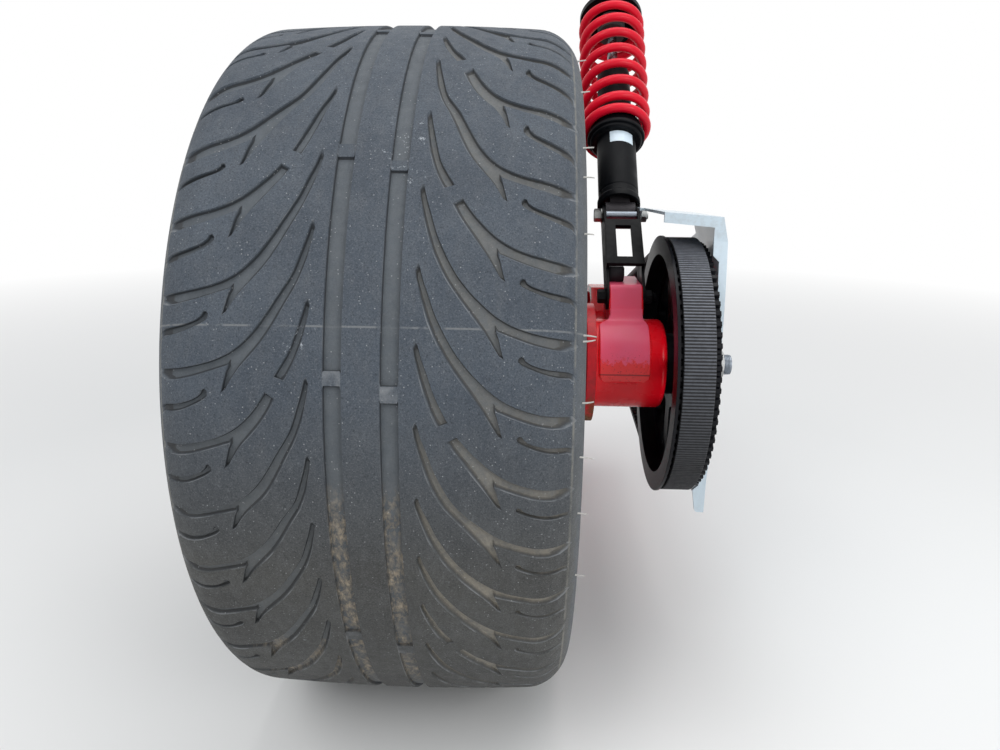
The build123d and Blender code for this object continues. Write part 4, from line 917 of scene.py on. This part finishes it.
# Belt
def belt_path():
    """Function from length to (y, z) and outward normal, the loop's length and its two free runs."""
    r1, r2 = DRIVEN_TIP + BELT_GAP, DRIVE_TIP + BELT_GAP
    dy, dz = -AXLE[1], -AXLE[2]
    span = math.hypot(dy, dz)
    heading = math.atan2(dz, dy)
    open_angle = math.acos((r1 - r2) / span)
    run = math.sqrt(span**2 - (r1 - r2) ** 2)
    upper, lower = heading + open_angle, heading - open_angle
    arc2 = r2 * (upper - lower)
    total = 2 * run + arc2 + r1 * (2 * math.pi - (upper - lower))
    # length, radius, centre and first angle; straight runs first and third, arcs second and fourth
    stretches = ((run, r1, 0.0, 0.0, upper), (arc2, r2, dy, dz, upper),
                 (run, r2, dy, dz, lower), (math.inf, r1, 0.0, 0.0, lower))

    def at(s):
        s %= total
        for i, (length, radius, y, z, a) in enumerate(stretches):
            if s < length:
                break
            s -= length
        if i % 2:
            a, s = a - s / radius, 0.0
        n = (math.cos(a), math.sin(a))
        return (y + radius * n[0] + n[1] * s, z + radius * n[1] - n[0] * s), n

    return at, total, (0.0, run), (run + arc2, 2 * run + arc2)


def make_belt():
    """Belt loop with ribs across its back and teeth on its free runs."""
    at, total, upper_run, lower_run = belt_path()
    ribs = round(total / 3.2)
    low, high = 3.7, BELT_THICKNESS
    edge = 0.7
    verts, rib = [], []
    for i in range(ribs):
        for share, level in ((0.0, low), (0.34, low), (0.46, high), (0.88, high)):
            (y, z), (ny, nz) = at((i + share) * (total / ribs))
            left, right, side = BELT_LEFT_X, BELT_RIGHT_X, level - edge
            for x, h in ((left, 0.0), (right, 0.0), (right, side), (right - edge, level),
                         (left + edge, level), (left, side)):
                verts.append((x, y + ny * h, z + nz * h))
                rib.append(1.0 if h >= high - 0.01 else 0.0)
    parts = [(verts, grid_faces(4 * ribs, 6, True, True))]
    height = TOOTH_HEIGHT - BELT_GAP
    half_tooth = ((0.34, 0.3), (0.27, -0.8), (0.21, -height + 0.5), (0.15, -height))
    shape = [(-s, h) for s, h in half_tooth] + list(half_tooth[::-1])
    # the teeth start where the belt has left each pulley
    big, small = (math.sqrt(2 * tip * (height + 2)) for tip in (DRIVEN_TIP, DRIVE_TIP))
    for (start, end), lead, tail in ((upper_run, big, small), (lower_run, small, big)):
        first, last = start + lead, end - tail
        for i in range(int((last - first) / TOOTH_PITCH)):
            middle = first + (i + 0.5) * TOOTH_PITCH
            outline = []
            for s, h in shape:
                (y, z), (ny, nz) = at(middle + s * TOOTH_PITCH)
                outline.append((y + ny * h, z + nz * h))
            parts.append(prism(outline, BELT_LEFT_X, BELT_RIGHT_X))
    part = joined(*parts)
    rib += [0.0] * (len(part[0]) - len(rib))
    add_piece("toothed_belt", part, "swingarm", "belt_rubber", AXLE, ("drive_belt",), 25, {"rib": rib})


make_belt()


# Shock, built upright along Z from its lower eye and then leaned forward
SHOCK_TURN = Matrix.Translation(Vector(SHOCK_FOOT)) @ Matrix.Rotation(-SHOCK_LEAN, 4, "X")


def stood(profile):
    """A (height, radius) profile turned about the Z axis."""
    verts, faces = turned(profile, 72)
    return [(y, z, x) for x, y, z in verts], faces


def shock_piece(name, part, slot, replaced=(), sharp=30):
    """A piece of the shock, leaned into place."""
    add_piece(name, moved(part, SHOCK_TURN), "swingarm", slot, (0, 0, 0), replaced, sharp)


# Heights of the spring's two seats over the lower eye, then the coil's sizes
FLANGE_TOP_S, SEAT_S = 125.7, 342.4
WIRE, COIL_RADIUS, COIL_PITCH, CLOSED_TURNS, CLOSED_STEP = 11.5, 39.5, 29.0, 0.97, 11.7
ACTIVE_TURNS = (SEAT_S - FLANGE_TOP_S - 0.6 - WIRE - 2 * CLOSED_TURNS * CLOSED_STEP) / COIL_PITCH


def spring_height(turn):
    low = min(turn, CLOSED_TURNS) * CLOSED_STEP
    middle = min(max(turn - CLOSED_TURNS, 0), ACTIVE_TURNS) * COIL_PITCH
    return low + middle + max(turn - CLOSED_TURNS - ACTIVE_TURNS, 0) * CLOSED_STEP


def make_spring():
    """Coil with its closed ends ground flat towards the wire's ends."""
    steps, sides, radius = 44, 14, WIRE / 2
    turns = ACTIVE_TURNS + 2 * CLOSED_TURNS
    count = int(turns * steps)
    raw = [spring_height(turns * i / count) for i in range(count + 1)]
    eased = np.convolve(np.pad(raw, 5, mode="reflect", reflect_type="odd"), np.ones(11) / 11, "valid")
    verts = []
    low, high = FLANGE_TOP_S + 0.1, SEAT_S - 0.1
    base = FLANGE_TOP_S + 0.3 + radius
    for i in range(count + 1):
        turn = turns * i / count
        a = 2 * math.pi * turn
        sunk = 5.5 * (max(0, 1 - turn / 0.3) - max(0, 1 - (turns - turn) / 0.3))
        centre = Vector((-COIL_RADIUS * math.sin(a), COIL_RADIUS * math.cos(a), base + eased[i] - sunk))
        out = Vector((-math.sin(a), math.cos(a), 0))
        rise = eased[min(count, i + 1)] - eased[max(0, i - 1)]
        rise /= 2 * math.pi * turns / count * (2 if 0 < i < count else 1)
        along = Vector((-COIL_RADIUS * math.cos(a), -COIL_RADIUS * math.sin(a), rise)).normalized()
        up = along.cross(out).normalized()
        for k in range(sides):
            b = 2 * math.pi * k / sides
            p = centre + out * math.cos(b) * radius + up * math.sin(b) * radius
            verts.append((p.x, p.y, max(low, min(p.z, high))))
    shock_piece("coil_spring", (verts, tube_faces(count + 1, sides)), "spring_coat", ("shock_spring",), 45)


make_spring()


def make_shock():
    """Body and spring perch, as closed (height, radius) profiles."""
    body = [(24, 7.4), (24, 22.5), (13, 22.5), (13, 26), (20.5, 26), (22.5, 24.5), (29, 24.5), (29.6, 24),
            (31.4, 24), (32, 24.5), (140, 24.5), (141.5, 21.5), (236, 21.5), (240, 19), (240, 7.4), (24, 7.4)]
    shock_piece("damper_body", stood(rounded(body, 0.8, 3)), "black_paint", ("shock_body",))
    perch = [(115, 24.55), (115, 31), (117, 33), (119.7, 33), (119.7, 35.4), (120.8, 36.5), (124.8, 36.5),
             (125.7, 35.6), (125.7, 33), (138.5, 33), (140, 31.5), (140, 24.55), (115, 24.55)]
    shock_piece("perch_ring", stood(rounded(perch, 0.5, 2)), "black_paint", ("spring_perch",))


make_shock()


# Bolts and nuts
EAR_LEFT_X, EAR_RIGHT_X = 199.9, 242.1
STUD_RADIUS = 57.15


def make_cross_bolt(name, node, y, z, packing, turns):
    """Bolt, washers and nut through the riser bracket, with the bolt's thread past the nut."""
    hole, across, head, nut, washer = 4.7, 14.0, 8.0, 7.0, 1.5
    left, right = EAR_LEFT_X - washer, EAR_RIGHT_X + packing
    nut_x = right + washer
    tip = nut_x + nut - 1
    parts = [hex_head(left, left - head, across, turns[0]),
             hex_head(nut_x, nut_x + nut, across, turns[1], both=True),
             turned([(left - 1, 0.0), (left - 1, hole), (tip, hole), (tip, 0.0)], 40),
             thread(tip, EAR_RIGHT_X + 3.0 + washer + nut + 2.0, 4.75, 1.25, 0.55)]
    for x in (left, right):
        far = x + washer
        ring = [(x, hole), (x + 0.3, 9.0), (x + 1.2, 9.0), (far, 8.7), (far, hole), (x, hole)]
        parts.append(turned(ring, 48))
    slot = "zinc" if packing else "black_paint"
    add_piece(name, shift(joined(*parts), y, z), "swingarm", slot, AXLE, (node,), 24)


make_cross_bolt("lower_bolt", "riser_bolt", 16.0, 72.5, 0.0, (12, 41))
make_cross_bolt("upper_bolt", "clevis_bolt", 116.5, 153.0, 3.0, (20, 5))


def make_axle_nut():
    """Nut with a chamfered bore, and the shaft's thread past it."""
    nut = hex_head(310.0, 331.0, 30.0, 8, both=True)
    bore = turned([(330.2, 11.05), (331.05, 12.6), (331.15, 11.6), (330.4, 11.05), (330.2, 11.05)], 48)
    add_piece("axle_nut_piece", joined(nut, bore), "wheel", "zinc", AXLE, ("axle_nut",), 24)
    add_piece("axle_thread", thread(330.5, 339.9, 11.3, 1.5, 0.6), "wheel", "steel", AXLE, sharp=24)


make_axle_nut()


def make_lug_nuts():
    """Wheel nuts with turned corners and a cone at the seat, and threaded ends on the studs."""
    nuts, studs = [], []
    for i in range(5):
        a = math.radians(72 * i)
        y, z = -STUD_RADIUS * math.sin(a), STUD_RADIUS * math.cos(a)
        cone = turned([(40.0, 6.0), (40.0, 10.6), (37.5, 11.3), (37.4, 6.0), (40.0, 6.0)], 40)
        nuts.append(shift(joined(hex_head(37.5, 23.0, 19.0, 13 * i), cone), y, z))
        studs.append(shift(thread(24.0, 20.0, 6.0, 1.5, 0.7), y, z))
    add_piece("wheel_nuts", joined(*nuts, *studs), "wheel", "zinc", AXLE, ("lug_nuts",), 24)


make_lug_nuts()


# Small details beside the shock's mount
def lumpy_line(path, radius, draw):
    """A weld bead: overlapping beads of uneven height along a path of points."""
    sides = 7
    path = [Vector(p) for p in path]
    verts = []
    length = sum((b - a).length for a, b in zip(path, path[1:]))
    count = max(4, int(length / 0.8))
    for i in range(count + 1):
        target = length * i / count
        for a, b in zip(path, path[1:]):
            span = (b - a).length
            if target <= span or (a, b) == (path[-2], path[-1]):
                break
            target -= span
        along = (b - a).normalized()
        spot = a + along * min(target, span)
        side = along.cross(Vector((0.3, 0.5, 0.8))).normalized()
        other = along.cross(side)
        ripple = 0.82 + 0.22 * abs(math.sin(i * 0.8 / 3.1 * math.pi)) + draw.uniform(-0.03, 0.03)
        fade = math.sqrt(unit(3.0 * min(i + 0.2, count - i + 0.2) / count))
        for t in (2 * math.pi * k / sides for k in range(sides)):
            verts.append(tuple(spot + (side * math.cos(t) + other * math.sin(t)) * radius * ripple * fade))
    return verts, tube_faces(count + 1, sides)


def housing_arc(x, start, end):
    """Points round the hub housing at x; angles in degrees above the rear."""
    r = HOUSING_RADIUS + 1.1
    turns = (math.radians(start + (end - start) * i / 10) for i in range(11))
    return [(x, -r * math.cos(a), r * math.sin(a)) for a in turns]


def make_welds():
    """Beads along the joints of the tab, the housing and the strap."""
    draw = random.Random(3)
    lines = (
        ([(203.2, -7.0, 50.0), (203.2, 6.0, 81.5), (203.4, 11.0, 86.3)], 1.1),
        ([(238.8, -7.0, 50.0), (238.8, 6.0, 81.5), (238.6, 11.0, 86.3)], 1.1),
        (housing_arc(190.6, 60, -4), 1.5),
        (housing_arc(243.6, 66, -4), 1.8),
        ([(196.0, -50.4, -7.6), (217.0, -50.6, -8.2), (238.0, -50.4, -7.6)], 1.3),
        ([(203.2, 30.0, 42.5), (203.2, 79.0, 66.3)], 1.4),
    )
    beads = [lumpy_line(path, radius, draw) for path, radius in lines]
    add_piece("weld_beads", joined(*beads), "swingarm", "red_paint", AXLE, sharp=60)


make_welds()


def make_strap():
    """Bent sheet that leaves the box, flares out and runs down over the back of the housing."""
    rows = [((-2.2, 62.0), (-0.92, 0.39)), ((-4.8, 56.0), (-0.92, 0.39)), ((-8.0, 50.8), (-0.80, 0.60))]
    for a in (math.radians(degrees) for degrees in (*range(76, -8, -4), -8.6)):
        c, d = -math.cos(a), math.sin(a)
        rows.append(((HOUSING_RADIUS * c, HOUSING_RADIUS * d), (c, d)))
    verts = []
    across = 12
    last = len(rows) - 1
    for i, ((y, z), (ny, nz)) in enumerate(rows):
        flare = unit((i - 0.6) / 5.0)
        flare = flare * flare * (3 - 2 * flare)
        pull = {last - 1: 1.2, last: 5.0}.get(i, 0.0)
        left, right = 203.4 - 12.9 * flare + pull, 238.6 + 5.2 * flare - pull
        shares = (0.5 - 0.5 * math.cos(math.pi * k / across) for k in range(across + 1))
        xs = [left + (right - left) * share for share in shares]
        for k, x in enumerate(xs):
            edge = min(k, across - k) / across * (right - left)
            height = 3.0 - 1.3 * max(0.0, 1 - edge / 1.6) - (1.2 if i in (0, last) else 0.0)
            verts.append((x, y + ny * height, z + nz * height))
        verts += [(x, y - ny * 0.3, z - nz * 0.3) for x in xs[::-1]]
    part = verts, sheet_faces(len(rows), across + 1)
    add_piece("strap_sheet", part, "swingarm", "red_paint", AXLE, ("housing_strap",), 50)


make_strap()


def make_bushing_block():
    """Rough cast packing that sits on the tab between the bracket's ears."""
    draw = random.Random(11)
    verts = []
    sides = 24
    levels = ((86.6, 8.6, 9.0), (88.0, 9.3, 9.8), (94.0, 9.4, 10.0), (101.5, 9.2, 9.6), (103.4, 8.0, 8.4))
    for k, (z, half_x, half_y) in enumerate(levels):
        for a in (2 * math.pi * i / sides for i in range(sides)):
            c, d = math.cos(a), math.sin(a)
            x = math.copysign(abs(c) ** 0.35, c) * half_x + draw.uniform(-0.25, 0.25)
            y = math.copysign(abs(d) ** 0.35, d) * half_y + draw.uniform(-0.25, 0.25)
            verts.append((211.8 + x, 40.0 + y, z + draw.uniform(-0.2, 0.2) * (0 < k)))
    part = verts, tube_faces(len(levels), sides)
    add_piece("packing_block", part, "swingarm", "cast_aluminium", AXLE, sharp=50)


make_bushing_block()


def make_sticker():
    """Blank white sticker round the damper's body, under the perch."""
    rows, columns = 6, 26
    heights = [97.0 + 17.0 * k / rows for k in range(rows + 1)]
    verts = []
    for i in range(columns + 1):
        turn = math.radians(-115 + 73 * i / columns)
        for r, line in ((DAMPER_RADIUS + 0.25, heights), (DAMPER_RADIUS, heights[::-1])):
            verts += [(r * math.cos(turn), r * math.sin(turn), s) for s in line]
    shock_piece("blank_sticker", (verts, sheet_faces(columns + 1, rows + 1)), "white_paint", (), 40)


make_sticker()


# Copies of the CAD nodes with rounded edges: node, body, slot, edge width
DRESSED = (
    ("rim", "wheel", "rim_paint", 0.9),
    ("brake_disc", "wheel", "disc_steel", 0.5),
    ("driven_pulley", "wheel", "pulley_black", 0.3),
    ("drive_pulley", "drive", "pulley_black", 0.3),
    ("hub_housing", "swingarm", "red_paint", 1.2),
    ("shock_tab", "swingarm", "red_paint", 1.2),
    ("swingarm_beam", "swingarm", "red_paint", 1.2),
    ("arm_brace", "swingarm", "red_paint", 1.2),
    ("pivot_tube", "swingarm", "red_paint", 0.8),
    ("riser_bracket", "swingarm", "black_paint", 0.8),
    ("belt_guard", "swingarm", "white_paint", 0.7),
    ("brake_caliper", "swingarm", "black_paint", 1.6),
    ("caliper_bracket", "swingarm", "black_paint", 0.8),
    ("bearing_carrier", "swingarm", "rust_steel", 0.6),
    ("shock_lower_eye", "swingarm", "cast_aluminium", 0.8),
    ("shock_top", "swingarm", "black_paint", 0.8),
    ("axle_washer", "wheel", "zinc", 0.3),
    ("axle_shaft", "wheel", "steel", 0.6),
    ("centre_cap", "wheel", "black_paint", 0.6),
    ("valve_stem", "wheel", "stop_rubber", 0.4),
    ("guard_standoffs", "swingarm", "zinc", 0.6),
    ("spigot_collar", "swingarm", "zinc", 0.6),
    ("riser_spacer", "swingarm", "steel", 0.4),
    ("bump_stop", "swingarm", "stop_rubber", 1.5),
)
for node, body, slot_name, width in DRESSED:
    dress(node, body, slot_name, width, 28 if node == "rim" else 30)

# the tab and the strap take the red with the painted sky reflection
for name in ("shock_tab_dressed", "strap_sheet"):
    bpy.data.objects[name].data.materials[0] = RED_WITH_PAINTED_SHEEN

SLOTS = {part["node"]: part["material_slot"] for part in frame["record"]["subparts"]}
for name, obj in NODES.items():
    obj.data.materials.clear()
    obj.data.materials.append(MATERIALS[SLOTS[name]])
    obj.data.polygons.foreach_set("material_index", [0] * len(obj.data.polygons))


# Floor, light and background
def make_floor():
    """White floor under the tyre, which fades into the background with distance."""
    z = (AXLE[2] - TYRE_RADIUS - 0.1) / 1000
    mesh = bpy.data.meshes.new("floor")
    mesh.from_pydata([(x, y, z) for x, y in ((-30, -30), (30, -30), (30, 30), (-30, 30))], [], [(0, 1, 2, 3)])
    floor = bpy.data.objects.new("floor", mesh)
    SCENE.collection.objects.link(floor)
    g = Graph("floor")
    g.set(Base_Color=(0.80, 0.80, 0.79, 1), Roughness=0.9, Specular_IOR_Level=0.1)
    away = g.node("ShaderNodeVectorMath", {0: g.coords, 1: (0, -0.4, z)}, operation="DISTANCE")
    share = g.times(g.seen(), g.ramp(away.outputs["Value"], 1.0, 3.2))
    output = g.tree.nodes["Material Output"].inputs["Surface"]
    g.blend(share, g.shader.outputs[0], g.glow("ShaderNodeEmission"), output)
    mesh.materials.append(g.material)


def make_world():
    """White where it is seen, and a softer cool light for all else."""
    world = bpy.data.worlds.new("studio")
    SCENE.world = world
    world.use_nodes = True
    w = Nodes(world.node_tree)
    soft = w.tree.nodes["Background"]
    w.put(soft.inputs["Color"], (0.93, 0.96, 1.0, 1))
    w.put(soft.inputs["Strength"], 0.55)
    white = w.glow("ShaderNodeBackground")
    w.blend(w.seen(), soft.outputs[0], white, w.tree.nodes["World Output"].inputs["Surface"])


def make_lamp(name, place, size, power, aim):
    data = bpy.data.lights.new(name, "AREA")
    data.shape = "SQUARE"
    data.size = size
    data.energy = power
    lamp = bpy.data.objects.new(name, data)
    SCENE.collection.objects.link(lamp)
    lamp.location = place
    lamp.rotation_euler = (Vector(aim) - Vector(place)).to_track_quat("-Z", "Y").to_euler()


make_floor()
make_world()
make_lamp("key", (-1.4, -2.4, 2.6), 1.8, 42, (0.0, -0.45, 0.05))
make_lamp("top", (0.6, -0.4, 2.8), 2.2, 34, (0.1, -0.45, 0.0))
make_lamp("right", (1.9, -2.3, 1.1), 1.4, 26, (0.18, -0.45, 0.05))
SCENE.view_settings.view_transform = "Standard"
